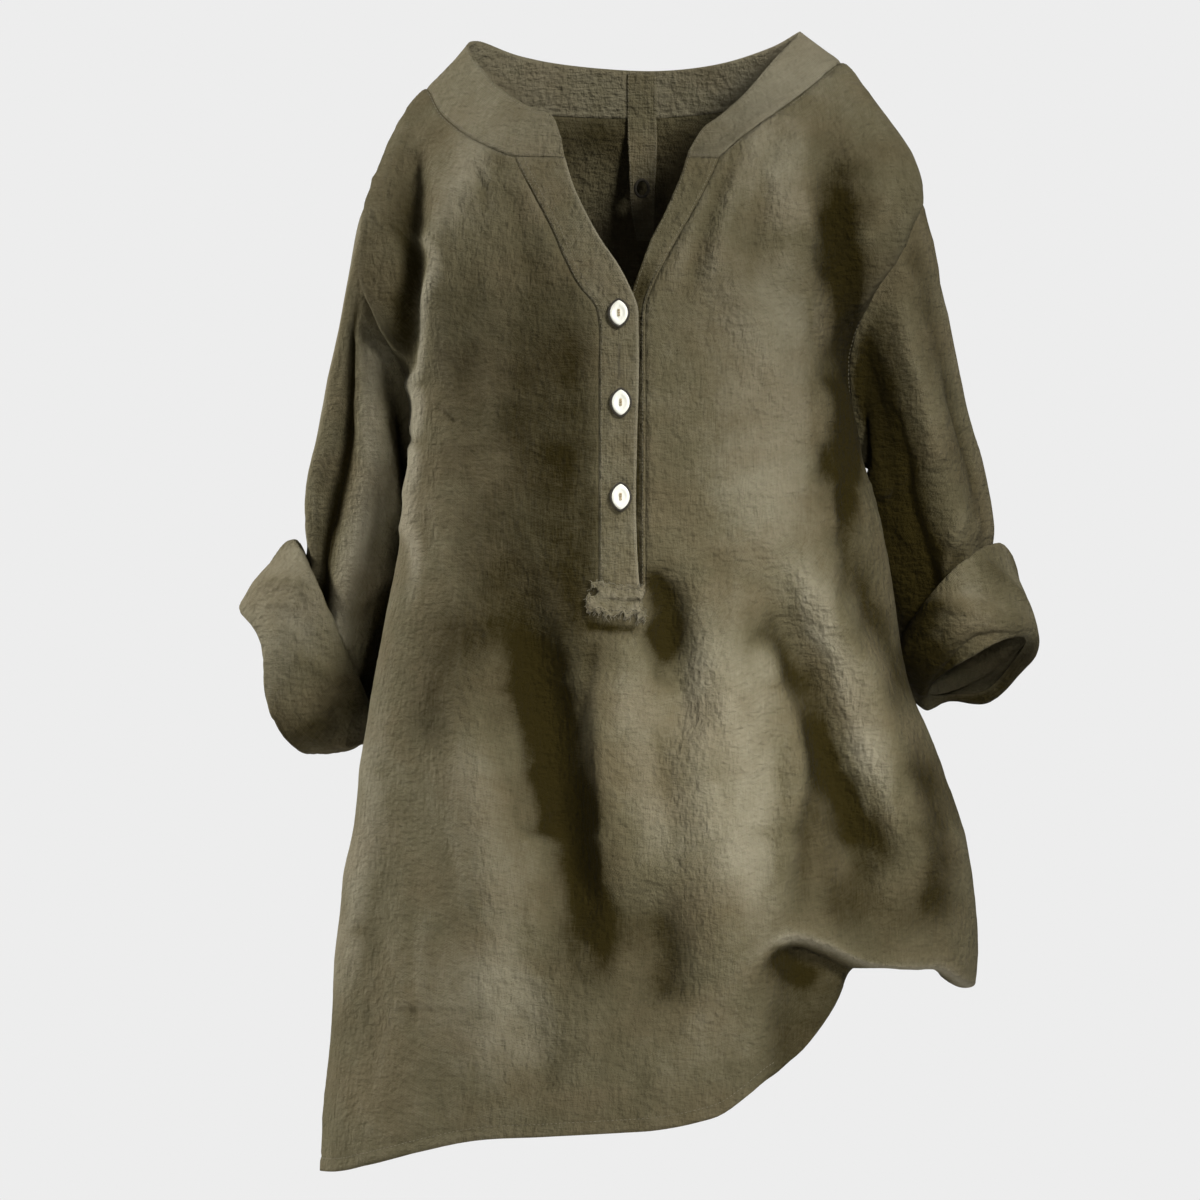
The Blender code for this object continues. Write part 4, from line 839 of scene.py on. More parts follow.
def back_grid(stations: Array) -> Array:
    """The whole back, from the right side seam to the left side seam."""
    ramp = np.linspace(0, 1, COUNTS.shoulder + 1)
    neck = np.linspace(0, 1, COUNTS.back_neck + 1)[1:-1]
    top = np.concatenate([
        read(TOP_RIGHT, *PATH)(1 - ramp * SHOULDER_SHARE), read(TOP_BACK, *PATH)(neck),
        read(TOP_LEFT, *PATH)(1 - (1 - ramp) * SHOULDER_SHARE)])
    place = np.concatenate([ramp * BACK_SHOULDER, mix(BACK_SHOULDER, 1 - BACK_SHOULDER, neck),
                            1 - BACK_SHOULDER + ramp * BACK_SHOULDER])
    lean = math.sin(WRAP)

    def across(z: Array) -> Array:
        """Where the columns lie at these levels."""
        low, high = right_edge(z), left_edge(z)
        centre, half = (low + high) / 2, (high - low) / 2
        first, last = mix(slot_right(z), low, lean), mix(slot_left(z), high, lean)
        a = -np.arcsin(np.clip((centre - first) / half, 0, 1))
        b = np.arcsin(np.clip((last - centre) / half, 0, 1))
        return centre + half * np.sin(mix(a, b, place))

    return Panel(
        top=top, across=across, turn=-1,
        pulls=[(ARMHOLE_RIGHT_BACK, 0, 1 - ease(place, 0.0, BACK_FOLLOWS)),
               (ARMHOLE_LEFT_BACK, -1, ease(place, 1 - BACK_FOLLOWS, 1.0))],
        near_side=1 - 2 * np.minimum(place, 1 - place), lower=LOWER_BACK,
        folds=FOLDS_BACK).grid(stations)


# ---------------------------------------------------------------- sleeves, cuffs
def rings_of(sections: Table, angles: Array) -> list[Array]:
    """Points of each section of a sleeve, at angles from its outer silhouette."""
    c, s = np.cos(angles), np.sin(angles)
    return [np.stack([cx + out_x * c, cy + fore_y * s, cz + out_z * c + fore_z * s],
                     axis=-1)
            for cx, cy, cz, out_x, out_z, fore_y, fore_z in zip(*sections.values())]


def armhole_loop(front: Array, back: Array, column: int) -> Array:
    """Seam points round an armhole: down the front, then up the back."""
    fore = front[:COUNTS.armhole + 1, column]
    rear = back[1:COUNTS.armhole, column][::-1]
    return np.concatenate([fore, rear])


def loop_angles(loop: Array) -> Array:
    """Angle of each point of the armhole, by its length along the loop."""
    half = COUNTS.armhole
    closed = np.concatenate([loop, loop[:1]])
    length = np.concatenate([[0], np.cumsum(
        np.linalg.norm(np.diff(closed, axis=0), axis=1))])
    fore = length[:half + 1] / length[half] * math.pi
    rear = math.pi + (length[half + 1:-1] - length[half]) / (
        length[-1] - length[half]) * math.pi
    return np.concatenate([fore, rear])


def through(rings: Sequence[Array], per_span: int) -> Array:
    """Smooth rows through the given rings, with some more between them."""
    stack = np.array(rings)
    count = len(stack)
    at = np.linspace(0, count - 1, (count - 1) * per_span + 1)
    rows = [curve(at, np.arange(count), column) for column in stack.reshape(count, -1).T]
    return np.stack(rows, axis=-1).reshape(len(at), -1, 3)


def strokes_round(angles: Array, count: int, strokes: Table,
                  run_in: float = 0.1) -> Array:
    """Sum of lengthwise strokes along a tube.

    Args:
        angles: Angle of each column.
        count: How many rows the tube has.
        strokes: Angle at each end, the stretch covered, half width and height.
        run_in: How far inside its ends a stroke is full.

    Returns:
        The height at each point.
    """
    way = np.linspace(0, 1, count)[:, None]
    total = np.zeros((count, len(angles)))
    for a0, a1, start, end, reach, height in zip(*strokes.values()):
        aside = aside_of(angles, mix(a0, a1, way))
        total += height * stretch(way, start, end, 0.1, run_in) * bell(aside, reach)
    return total


def sleeve_grid(loop: Array, lead: Sequence[float], sections: Table,
                folds: Table) -> Array:
    """Sleeve from the armhole seam to its end inside the cuff."""
    angles = loop_angles(loop)
    first = loop + np.array(lead)
    first[:, 2] -= LEAD_SWING * np.cos(angles)
    rows = through([loop, first, *rings_of(sections, angles)], COUNTS.sleeve_span)
    out = unit(rows - rows.mean(axis=1, keepdims=True))
    way = np.linspace(0, 1, len(rows))[:, None]
    height = strokes_round(angles, len(rows), folds, SLEEVE_FOLDS_RUN_IN)
    height = height * ease(way, 0.0, 0.12) * (1 - ease(way, 0.82, 0.98))
    return rows + out * height[..., None]


# ---------------------------------------------------------------- band, placket


def strip_grid(seam: Array, free: Array, share: Array, lift: Array, power: int) -> Array:
    """A placket strip, from the seam that it is sewn along to its free edge.

    Args:
        seam: Points of the seam.
        free: Where the free edge lies across, at the seam's levels.
        share: How far each column is from the seam, 0 to 1.
        lift: How far the columns stand off the front's plain surface.
        power: How fast the strip leaves the seam's own height.

    Returns:
        Its rows.
    """
    x = mix(seam[:, 0][:, None], free[:, None], share)
    z = np.repeat(seam[:, 2][:, None], len(share), axis=1)
    y = section(x, z, 1)
    grid = np.stack([x, y, z], axis=-1) + section_normal(x, y, z, 0.0) * lift[..., None]
    held = (1 - share) ** power
    grid = grid + (seam - grid[:, 0])[:, None] * held[None, :, None]
    stands = seam[:, 1] - section(seam[:, 0], seam[:, 2], 1)
    grid[:, 1:, 1] += stands[:, None] * (1 - held[1:])
    return grid


def over_grid(front: Array) -> Array:
    """Over-placket: from the slot's right seam to its free edge."""
    seam = front[:SLOT_ROW + 1, SLOT_FIRST]
    share = np.linspace(0, 1, COUNTS.over + 1)
    free = read(OVER_EDGE, "level", "x")(seam[:, 2])
    return strip_grid(seam, free, share, OVER_LIFT * ease(share, 0, 0.6), 1)


def under_grid(front: Array) -> Array:
    """Under-placket: from its free edge to the slot's left seam, lying lower."""
    seam = front[:SLOT_ROW + 1, SLOT_LAST]
    coarse = np.linspace(0, 1, len(UNDER_SHARES))
    share = np.interp(np.linspace(0, 1, COUNTS.under + 1), coarse, UNDER_SHARES)
    free = read(UNDER_EDGE, "level", "x")(seam[:, 2])
    covered = ease(-seam[:, 2], *UNDER_COVERED)[:, None]
    drop = UNDER_DROP * covered * (1 - ease(share, UNDER_SHARES[-2], 1.0))
    return strip_grid(seam, free, 1 - share[::-1], -drop[:, ::-1], 2)[:, ::-1]


def band_grid(front: Array, back: Array, over: Array, under: Array) -> Array:
    """Neckband: its lower row is the neckline, its upper row its top edge."""
    first = COUNTS.shoulder
    lower = np.concatenate([
        over[0, ::-1][:-1], front[0, first:SLOT_FIRST + 1][::-1][:-1],
        back[0, first:first + COUNTS.back_neck + 1],
        front[0, SLOT_LAST:SLOT_LAST + COUNTS.neck + 1][::-1][1:], under[0][::-1][1:]])
    place = np.concatenate([
        np.linspace(0, BAND_RIGHT_FRONT[0], COUNTS.over + 1)[:-1],
        np.linspace(*BAND_RIGHT_FRONT, COUNTS.neck + 1)[:-1],
        np.linspace(*BAND_BACK, COUNTS.back_neck + 1),
        np.linspace(*BAND_LEFT_FRONT, COUNTS.neck + 1)[1:],
        np.linspace(BAND_LEFT_FRONT[1], 1, COUNTS.under + 1)[1:],
    ])
    share = np.linspace(0, 1, COUNTS.band + 1)[:, None, None]
    return mix(lower, read(BAND_TOP, *PATH)(place), share)


def cast(x: Array, z: Array, grids: Iterable[Array], forward: bool = True) -> Array:
    """Depth of the grids' surfaces at points of the front view.

    Args:
        x: Places across.
        z: Their levels.
        grids: Grids of points.
        forward: Whether the foremost surface is wanted, not the rearmost one.

    Returns:
        The depths. A point off the grids takes the depth of those beside it.
    """
    corners = []
    for grid in grids:
        a, b = grid[:-1, :-1], grid[1:, :-1]
        c, d = grid[1:, 1:], grid[:-1, 1:]
        corners.append(np.stack([a, b, c], axis=2).reshape(-1, 3, 3))
        corners.append(np.stack([a, c, d], axis=2).reshape(-1, 3, 3))
    tri = np.concatenate(corners)
    low, high = tri.min(axis=1), tri.max(axis=1)
    p, q, r = tri[:, 0], tri[:, 1] - tri[:, 0], tri[:, 2] - tri[:, 0]
    area = q[:, 0] * r[:, 2] - q[:, 2] * r[:, 0]
    area = np.where(np.abs(area) < 1e-9, np.nan, area)
    found = []
    for px, pz in zip(np.ravel(x), np.ravel(z)):
        near = np.nonzero((low[:, 0] <= px + 0.1) & (high[:, 0] >= px - 0.1)
                          & (low[:, 2] <= pz + 0.1) & (high[:, 2] >= pz - 0.1))[0]
        dx, dz = px - p[near, 0], pz - p[near, 2]
        u = (dx * r[near, 2] - dz * r[near, 0]) / area[near]
        v = (dz * q[near, 0] - dx * q[near, 2]) / area[near]
        inside = (u >= -0.05) & (v >= -0.05) & (u + v <= 1.05)
        depth = (p[near, 1] + u * q[near, 1] + v * r[near, 1])[inside]
        depth = depth if len(depth) else np.array([np.nan])
        found.append(depth.min() if forward else depth.max())
    values = np.array(found)
    known = ~np.isnan(values)
    order = np.arange(len(values))
    values = np.interp(order, order[known], values[known])
    return values.reshape(np.shape(x))

# ---------------------------------------------------------------- cloth surfaces
COARSE = Noise(11)
CRUMPLE = Noise(23)
FINE = Noise(37)

# Crumple of washed linen: size and height of its features, in millimetres.
BROAD = ((52, 52, 120), 2.6)
SOFT = ((22, 22, 34), 1.1)
SHARP = ((17, 17, 21), 1.5)
TINY = ((7.5, 7.5, 8.5), 0.5)
RUMPLED = (70, 70, 90)     # size of the spots where the sharp ones lie
RUMPLED_RANGE = (0.35, 0.75)


def wander(points: Array, reach: float, size: Sequence[float]) -> Array:
    """How far listed lines stray at the points, so that none is straight."""
    return reach * (COARSE.at(points, size) - 0.5)


def placed_creases(points: Array, creases: Table) -> Array:
    """Listed creases of the front or the back, at its points."""
    stray = wander(points, 5.0, (45, 200, 60))
    depth = 0.55 + 0.9 * CRUMPLE.at(points, (30, 200, 22))
    return fold_height(points[..., 0] + stray, points[..., 2] + stray, creases) * depth


def crumple(points: Array, amount: float = 1.0) -> Array:
    """Uneven crumple of washed linen, in millimetres off the smooth form."""
    broad = COARSE.at(points, BROAD[0]) - 0.5
    soft = CRUMPLE.at(points, SOFT[0]) - 0.5
    where = ease(COARSE.at(points + 400, RUMPLED), *RUMPLED_RANGE)
    sharp = FINE.ridges(points, SHARP[0], 4.0) - 0.25
    tiny = FINE.ridges(points + 900, TINY[0], 3.0) - 0.3
    return amount * (BROAD[1] * broad + SOFT[1] * soft + SHARP[1] * sharp * where
                     + TINY[1] * tiny * (0.4 + 0.6 * where))


@dataclass
class Cloth:
    """A grid of points that becomes one thin wall of linen.

    Attributes:
        name: The piece's name.
        grid: Its points, row by row.
        closed: Whether its columns run round a tube.
        flip: Whether its outer face lies on the other side.
        wall: Thickness.
        cells: Which cells of the grid are there.
        painted_shading_and_fade: Paleness (above 0) or darkness (below 0) of each point:
            painted light and shade, and the patch's own fading.
    """

    name: str
    grid: Array
    closed: bool = False
    flip: bool = False
    wall: float = SHEET_WALL
    cells: Array = field(default_factory=lambda: np.zeros(0))
    painted_shading_and_fade: Array = field(default_factory=lambda: np.zeros(0))

    def __post_init__(self) -> None:
        """Fills in the cells and the painted shading where none are given."""
        rows, columns = self.grid.shape[:2]
        if self.painted_shading_and_fade.size == 0:
            self.painted_shading_and_fade = np.zeros((rows, columns))
        if self.cells.size == 0:
            spans = columns if self.closed else columns - 1
            self.cells = np.ones((rows - 1, spans), dtype=bool)

    def steps(self) -> tuple[Array, Array]:
        """Lengths along each row and along each column, up to each point."""
        along = np.linalg.norm(np.diff(self.grid, axis=1), axis=2)
        down = np.linalg.norm(np.diff(self.grid, axis=0), axis=2)
        return (np.pad(np.cumsum(along, axis=1), ((0, 0), (1, 0))),
                np.pad(np.cumsum(down, axis=0), ((1, 0), (0, 0))))

    def from_edges(self, edges: str) -> Array:
        """Distance of each point from the nearest of the edges named by t, b, l, r."""
        along, down = self.steps()
        reach = {"t": down, "b": down[-1:] - down, "l": along, "r": along[:, -1:] - along}
        return np.min([reach[edge] for edge in edges], axis=0)

    def normals(self) -> Array:
        """Outward normals at the points."""
        g = self.grid
        if self.closed:
            across = np.roll(g, -1, axis=1) - np.roll(g, 1, axis=1)
        else:
            across = np.gradient(g, axis=1)
        down = np.gradient(g, axis=0)
        return unit(np.cross(down, across)) * (-1 if self.flip else 1)

    def lift(self, height: Array) -> None:
        """Moves the points out along their normals."""
        self.grid = self.grid + self.normals() * height[..., None]

    def quads(self) -> Array:
        """Corner numbers of the cells, facing outwards."""
        columns = self.grid.shape[1]
        r, c = np.nonzero(self.cells)
        d = (c + 1) % columns
        quads = np.stack([r * columns + c, (r + 1) * columns + c,
                          (r + 1) * columns + d, r * columns + d], axis=1)
        return quads[:, ::-1] if self.flip else quads

    def build(self, linen: Material, node: str) -> Piece:
        """The wall: outer sheet, inner sheet and the rim between them.

        Args:
            linen: The finish.
            node: The node whose place it takes.

        Returns:
            The piece, with its cloth coordinates in a UV map, in metres.
        """
        normals = self.normals().reshape(-1, 3)
        points = self.grid.reshape(-1, 3)
        used, quads = np.unique(self.quads(), return_inverse=True)
        quads = quads.reshape(-1, 4)
        count = len(used)
        offset = normals[used] * self.wall / 2
        starts = quads.reshape(-1)
        ends = np.roll(quads, -1, axis=1).reshape(-1)
        forth = starts.astype(np.int64) * count + ends
        back = ends.astype(np.int64) * count + starts
        rim = ~np.isin(forth, back)
        a, b = starts[rim], ends[rim]
        walls = np.stack([b, a, a + count, b + count], axis=1)
        faces = np.concatenate([quads, quads[:, ::-1] + count, walls])
        mesh = mesh_of(self.name, np.concatenate([points[used] + offset,
                                                  points[used] - offset]), faces)
        layer = mesh.uv_layers.new(name="cloth")
        layer.data.foreach_set("uv", self.cloth_places(used, faces).reshape(-1))
        # Painted light and shade of each point, with the patch's own fading, for the colour.
        mesh.attributes.new("painted_shading_and_fade", "FLOAT", "POINT").data.foreach_set(
            "value", np.tile(self.painted_shading_and_fade.reshape(-1)[used], 2))
        return carry(shown(self.name, mesh, linen), LINEN_SLOT, node)

    def cloth_places(self, used: Array, faces: Array) -> Array:
        """Place of each face corner on the flat cloth, in metres.

        Args:
            used: Numbers of the grid's points that the wall's faces use.
            faces: The wall's faces.

        Returns:
            The places. Round a tube, the last column's cells run on to its full
            girth.
        """
        along, down = self.steps()
        corners = np.tile(used, 2)[faces]
        flat = np.stack([along, down], axis=-1).reshape(-1, 2)[corners] * MM
        if self.closed:
            columns = self.grid.shape[1]
            row, column = np.divmod(corners, columns)
            wraps = (column == 0) & (column.max(axis=1, keepdims=True) == columns - 1)
            step = np.linalg.norm(self.grid[:, 0] - self.grid[:, -1], axis=1)
            girth = (along[:, -1] + step) * MM
            flat[..., 0] = np.where(wraps, girth[row], flat[..., 0])
        return flat

    def line(self, side: str, inset: float) -> Array:
        """A line on the outer face, at a distance from one of its edges.

        Args:
            side: The edge: t, b, l or r.
            inset: How far in the line runs.

        Returns:
            Its points.
        """
        along, down = self.steps()
        face = self.grid + self.normals() * self.wall / 2
        if side in "tb":
            along, face = down.T, face.transpose(1, 0, 2)
        points = []
        for run, row in zip(along, face):
            at = inset if side in "tl" else run[-1] - inset
            points.append([np.interp(at, run, row[:, k]) for k in range(3)])
        return np.array(points)

    def rows(self, rows: Sequence[tuple[str, float, int, int | None]]) -> list[Array]:
        """Lines, each by its edge, its inset, and its first and last point."""
        return [self.line(side, inset)[first:last] for side, inset, first, last in rows]


def mesh_of(name: str, points: Array, faces: Array) -> Mesh:
    """A mesh of faces with four corners each, from points in millimetres."""
    mesh = bpy.data.meshes.new(name)
    mesh.vertices.add(len(points))
    mesh.vertices.foreach_set("co", (points * MM).reshape(-1))
    mesh.loops.add(faces.size)
    mesh.loops.foreach_set("vertex_index", faces.reshape(-1))
    mesh.polygons.add(len(faces))
    mesh.polygons.foreach_set("loop_start", np.arange(0, faces.size, faces.shape[1]))
    mesh.update(calc_edges=True)
    mesh.validate()
    return mesh


def placed(name: str, mesh: Mesh) -> Piece:
    """The mesh as an object in the scene."""
    piece = bpy.data.objects.new(name, mesh)
    bpy.context.scene.collection.objects.link(piece)
    return piece


def shown(name: str, mesh: Mesh,
          finish: Material) -> Piece:
    """The mesh as a smooth piece with its finish."""
    mesh.materials.append(finish)
    mesh.shade_smooth()
    return placed(name, mesh)


def carry(piece: Piece, slot: str, *nodes: str) -> Piece:
    """Rides the piece on the body, in the place of the nodes."""
    if nodes:
        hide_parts(*nodes)
    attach(piece, BODY)
    log.info("%s: %d faces", piece.name, len(piece.data.polygons))
    return piece

# ---------------------------------------------------------------- finishes
THREAD_PITCH = 1.05    # distance between the linen's threads
THREADS = {"Scale": 2 * math.pi / (20 * THREAD_PITCH * MM), "Distortion": 2.2,
           "Detail": 1.0, "Detail Scale": 0.35}
SLUB_SCALES = ((1300, 55, 1), (70, 1150, 1))    # thick stretches of warp and weft
TONE_REACH = 0.8       # tone of the palest or darkest colour, from dye and painted shading
WARMTH_SCALE = (17, 17, 23.8)
# Noises of the wash: scale, detail, weight and, for the crinkle, kind.
WASH_TONE = ((11.0, 3.0, 0.7), (48.0, 3.0, 1.0), (330.0, 2.0, 0.55))
WASH_CRINKLE = (
    (210.0, 4.0, 0.9, "FBM"), ((300, 300, 90), 3.0, 0.55, "FBM"),
    ((110, 110, 330), 3.0, 0.55, "FBM"), (62.0, 3.0, 0.5, "RIDGED_MULTIFRACTAL"))


class Graph:
    """Short calls for building a node tree."""

    def __init__(self, tree: Tree) -> None:
        """Works on this tree."""
        self.tree = tree

    def add(self, kind: str, feeds: dict[str | int, object] | None = None,
            **settings: object) -> Node:
        """A new node.

        Args:
            kind: Its type.
            feeds: What its inputs take, by their name or number.
            settings: Its own properties.

        Returns:
            The node.
        """
        node = self.tree.nodes.new(kind)
        for name, value in settings.items():
            setattr(node, name, value)
        self.feed(node, feeds or {})
        return node

    def feed(self, node: Node, feeds: dict[str | int, object]) -> None:
        """Gives inputs a value, a socket or the first output of another node."""
        for place, value in feeds.items():
            if isinstance(value, Node):
                value = value.outputs[0]
            if isinstance(value, Socket):
                self.tree.links.new(value, node.inputs[place])
            else:
                node.inputs[place].default_value = value

    def math(self, operation: str, *operands: object) -> Node:
        """A math node; each operand is a number, a socket or a node."""
        return self.add("ShaderNodeMath", dict(enumerate(operands)), operation=operation)

    def total(self, *parts: tuple[object, float, float]) -> object:
        """Sum of values, each less its middle and times its weight."""
        found = -sum(weight * middle for _, weight, middle in parts)
        for value, weight, _ in parts:
            found = self.math("MULTIPLY_ADD", value, weight, found)
        return found

    def noise(self, place: object, scale: float | Sequence[float], detail: float = 2.0,
              kind: str = "FBM") -> Node:
        """Noise, from about 0 to 1; three scales stretch it along the axes."""
        if not isinstance(scale, float):
            place = self.add("ShaderNodeMapping", {"Vector": place, "Scale": scale})
            scale = 1.0
        return self.add("ShaderNodeTexNoise",
                        {"Vector": place, "Scale": scale, "Detail": detail}, noise_type=kind)

    def blend(self, share: object, a: object, b: object,
              way: str = "MIX") -> Socket:
        """Two colours mixed."""
        return self.add("ShaderNodeMix", {0: share, 6: a, 7: b}, data_type="RGBA",
                        blend_type=way).outputs[2]

    def ranged(self, value: object, low: float, high: float, to_low: float = 0.0,
               to_high: float = 1.0) -> Node:
        """The value moved from one range to another, and held in it."""
        numbers = (value, low, high, to_low, to_high)
        return self.add("ShaderNodeMapRange", dict(enumerate(numbers)))

    def bump(self, height: object, strength: float, distance: float) -> Node:
        """Relief from a height, with its greatest depth in millimetres."""
        return self.add("ShaderNodeBump", {
            "Height": height, "Strength": strength, "Distance": distance * MM})


def new_group(name: str, kind: str, inputs: dict[str, str],
              outputs: dict[str, str]) -> tuple[Graph, object, Node]:
    """An empty node group with its named sockets.

    Args:
        name: Its name.
        kind: The type of tree.
        inputs: Type of each input by its name.
        outputs: The same of each output.

    Returns:
        Its graph, its input node's outputs and its output node.
    """
    tree = bpy.data.node_groups.new(name, kind)
    for way, sockets in (("INPUT", inputs), ("OUTPUT", outputs)):
        for label, socket in sockets.items():
            tree.interface.new_socket(label, in_out=way, socket_type="NodeSocket" + socket)
    graph = Graph(tree)
    return graph, graph.add("NodeGroupInput").outputs, graph.add("NodeGroupOutput")


def weave_group() -> Tree:
    """Plain weave with slubs: tone and height over the cloth's own coordinates."""
    graph, given, out = new_group("plain_weave", "ShaderNodeTree", {"Cloth": "Vector"},
                                  {"Tone": "Float", "Height": "Float"})
    cloth = graph.math("MULTIPLY", *(
        graph.add("ShaderNodeTexWave", {"Vector": given["Cloth"], **THREADS},
                  bands_direction=direction) for direction in "XY"))
    warp, weft = (graph.noise(given["Cloth"], scale, 1.5) for scale in SLUB_SCALES)
    slubs = graph.total((warp, 1.0, 0.5), (weft, 1.0, 0.5))
    graph.feed(out, {
        "Height": graph.math("MULTIPLY_ADD", cloth, 0.6, slubs),
        "Tone": graph.math("MULTIPLY_ADD", graph.math("SUBTRACT", cloth, 0.35), 0.55,
                           slubs)})
    return graph.tree


def wash_group() -> Tree:
    """Unevenness of washed linen: tone, warmth and fine crinkles in space."""
    graph, given, out = new_group(
        "washed_unevenness", "ShaderNodeTree", {"Place": "Vector"},
        {"Tone": "Float", "Warmth": "Float", "Crinkle": "Float"})
    place = given["Place"]
    graph.feed(out, {
        "Tone": graph.total(*((graph.noise(place, scale, detail), weight, 0.5)
                              for scale, detail, weight in WASH_TONE)),
        "Warmth": graph.ranged(graph.noise(place, WARMTH_SCALE, 4.0), 0.42, 0.62),
        "Crinkle": graph.total(*((graph.noise(place, scale, detail, kind), weight, 0.0)
                                 for scale, detail, weight, kind in WASH_CRINKLE))})
    return graph.tree


@dataclass(frozen=True)
class Finish:
    """A named material; each kind says what its shader takes."""

    name: str

    def build(self) -> Material:
        """The material."""
        made = bpy.data.materials.new(self.name)
        made.use_nodes = True
        graph = Graph(made.node_tree)
        place = graph.add("ShaderNodeTexCoord").outputs["Object"]
        graph.feed(made.node_tree.nodes["Principled BSDF"], self.feeds(graph, place))
        return made

    def feeds(self, graph: Graph, place: Socket) -> dict[str, object]:
        """What the shader's inputs take.

        Args:
            graph: The material's graph.
            place: Place on the piece, in metres.

        Returns:
            A value or a node for each input.
        """
        raise NotImplementedError


@dataclass(frozen=True)
class LinenFinish(Finish):
    """Washed olive linen with its weave, slubs and uneven dye, and painted light and shade."""

    # The darkest colour takes dye and painted shade, the palest dye and painted light.
    deep_dye_and_painted_shade: Colour = (0.020, 0.0146, 0.0024, 1)
    middle: Colour = (0.107, 0.0925, 0.0515, 1)
    faded_and_painted_light: Colour = (0.235, 0.212, 0.146, 1)
    rust: Colour = (0.120, 0.082, 0.042, 1)

    def feeds(self, graph: Graph, place: Socket) -> dict[str, object]:
        """What the shader's inputs take."""
        cloth = graph.add("ShaderNodeUVMap", uv_map="cloth")
        weave = graph.add("ShaderNodeGroup", node_tree=weave_group())
        wash = graph.add("ShaderNodeGroup", node_tree=wash_group())
        graph.feed(weave, {"Cloth": cloth})
        graph.feed(wash, {"Place": place})
        # Painted light and shade given to each point, with the patch's own fading.
        painted_shading_and_fade = graph.add("ShaderNodeAttribute", attribute_name="painted_shading_and_fade").outputs["Fac"]
        tone = graph.total((weave.outputs["Tone"], 0.32, 0.0),
                           (wash.outputs["Tone"], 0.42, 0.0), (painted_shading_and_fade, 0.6, 0.0))
        colour = graph.blend(graph.ranged(tone, 0.0, TONE_REACH), self.middle, self.faded_and_painted_light)
        colour = graph.blend(graph.math("MULTIPLY", wash.outputs["Warmth"], 0.2), colour,
                             self.rust)
        colour = graph.blend(graph.ranged(tone, 0.0, -TONE_REACH), colour, self.deep_dye_and_painted_shade)
        height = graph.total((wash.outputs["Crinkle"], 1.45, 0.0),
                             (weave.outputs["Height"], 0.16, 0.0))
        return {"Base Color": colour, "Roughness": 0.88, "Specular IOR Level": 0.05,
                "Sheen Weight": 0.01, "Sheen Roughness": 0.5,
                "Normal": graph.bump(height, 1.0, 2.4)}


@dataclass(frozen=True)
class ThreadFinish(Finish):
    """Spun thread, lighter or darker than the cloth."""

    colour: Colour

    def feeds(self, graph: Graph, place: Socket) -> dict[str, object]:
        """What the shader's inputs take."""
        fleck = graph.ranged(graph.noise(place, 900.0), 0.3, 0.7, 0.65, 1.35)
        return {"Base Color": graph.blend(1.0, self.colour, fleck, "MULTIPLY"),
                "Roughness": 0.8}


@dataclass(frozen=True)
class ShellFinish(Finish):
    """Polished ivory shell with a faint figure."""

    colour: Colour = (0.86, 0.85, 0.74, 1)
    shade: Colour = (0.62, 0.59, 0.46, 1)

    def feeds(self, graph: Graph, place: Socket) -> dict[str, object]:
        """What the shader's inputs take."""
        figure = graph.noise(place, (240, 240, 84), 3.0)
        share = graph.ranged(figure, 0.5, 0.75, 0.0, 0.45)
        return {"Base Color": graph.blend(share, self.colour, self.shade),
                "Roughness": graph.ranged(figure, 0.3, 0.7, 0.22, 0.4),
                "Coat Weight": 0.25, "Normal": graph.bump(figure, 0.12, 0.3)}


@dataclass(frozen=True)
class PlainFinish(Finish):
    """Even matt paint."""

    colour: Colour

    def feeds(self, graph: Graph, place: Socket) -> dict[str, object]:
        """What the shader's inputs take."""
        return {"Base Color": self.colour, "Roughness": 0.9}


# ---------------------------------------------------------------- sewing
class Sewing(Enum):
    """Kinds of stitch: pitch, stitch length and thread radius, in millimetres."""

    TOPSTITCH = (3.0, 2.3, 0.26)
    EDGE = (2.6, 2.0, 0.24)
    HOLE = (0.55, 1.0, 0.20)
    SHANK = (1.6, 2.2, 0.28)


STITCH_VARIES = (0.82, 1.08)   # least and greatest length of a stitch, as a share
FRINGE_VARIES = (0.35, 1.15)   # the same of a loose thread
FRINGE_RADIUS = 0.16
FRINGE_SPREAD = 0.75   # how far a loose thread strays from its aim
# A loose thread of length 1, as a bent line.
STRAND = {"Resolution": 5, "Start": (0, 0, 0), "Middle": (0.22, 0.05, 0.55),
          "End": (-0.12, 0.1, 1.0)}


def along_lines(graph: Graph, lines: Socket,
                spacing: Socket) -> Node:
    """Evenly spaced points along lines, with their tangents."""
    even = graph.add("GeometryNodeResampleCurve",
                     {0: graph.add("GeometryNodeMeshToCurve", {0: lines})})
    if hasattr(even, "mode"):
        even.mode = "LENGTH"
    else:
        even.inputs["Mode"].default_value = "Length"
    graph.feed(even, {"Length": spacing})
    return graph.add("GeometryNodeCurveToPoints", {0: even}, mode="EVALUATED")


def set_threads(graph: Graph, points: Node, thread: Node,
                aim: object, scale: object, given: object) -> Node:
    """Threads set on points along an aim, made real, with their material."""
    turn = graph.add("FunctionNodeAlignRotationToVector", {"Vector": aim}, axis="Z")
    placed = graph.add("GeometryNodeInstanceOnPoints", {
        "Points": points, "Instance": thread, "Rotation": turn, "Scale": scale})
    real = graph.add("GeometryNodeRealizeInstances", {0: placed})
    return graph.add("GeometryNodeSetMaterial",
                     {"Geometry": real, "Material": given["Thread"]})


def vary(graph: Graph, low: float, high: float, seed: Socket) -> object:
    """A random number for each point."""
    return graph.add("FunctionNodeRandomValue", {2: low, 3: high, "Seed": seed},
                     data_type="FLOAT").outputs[1]


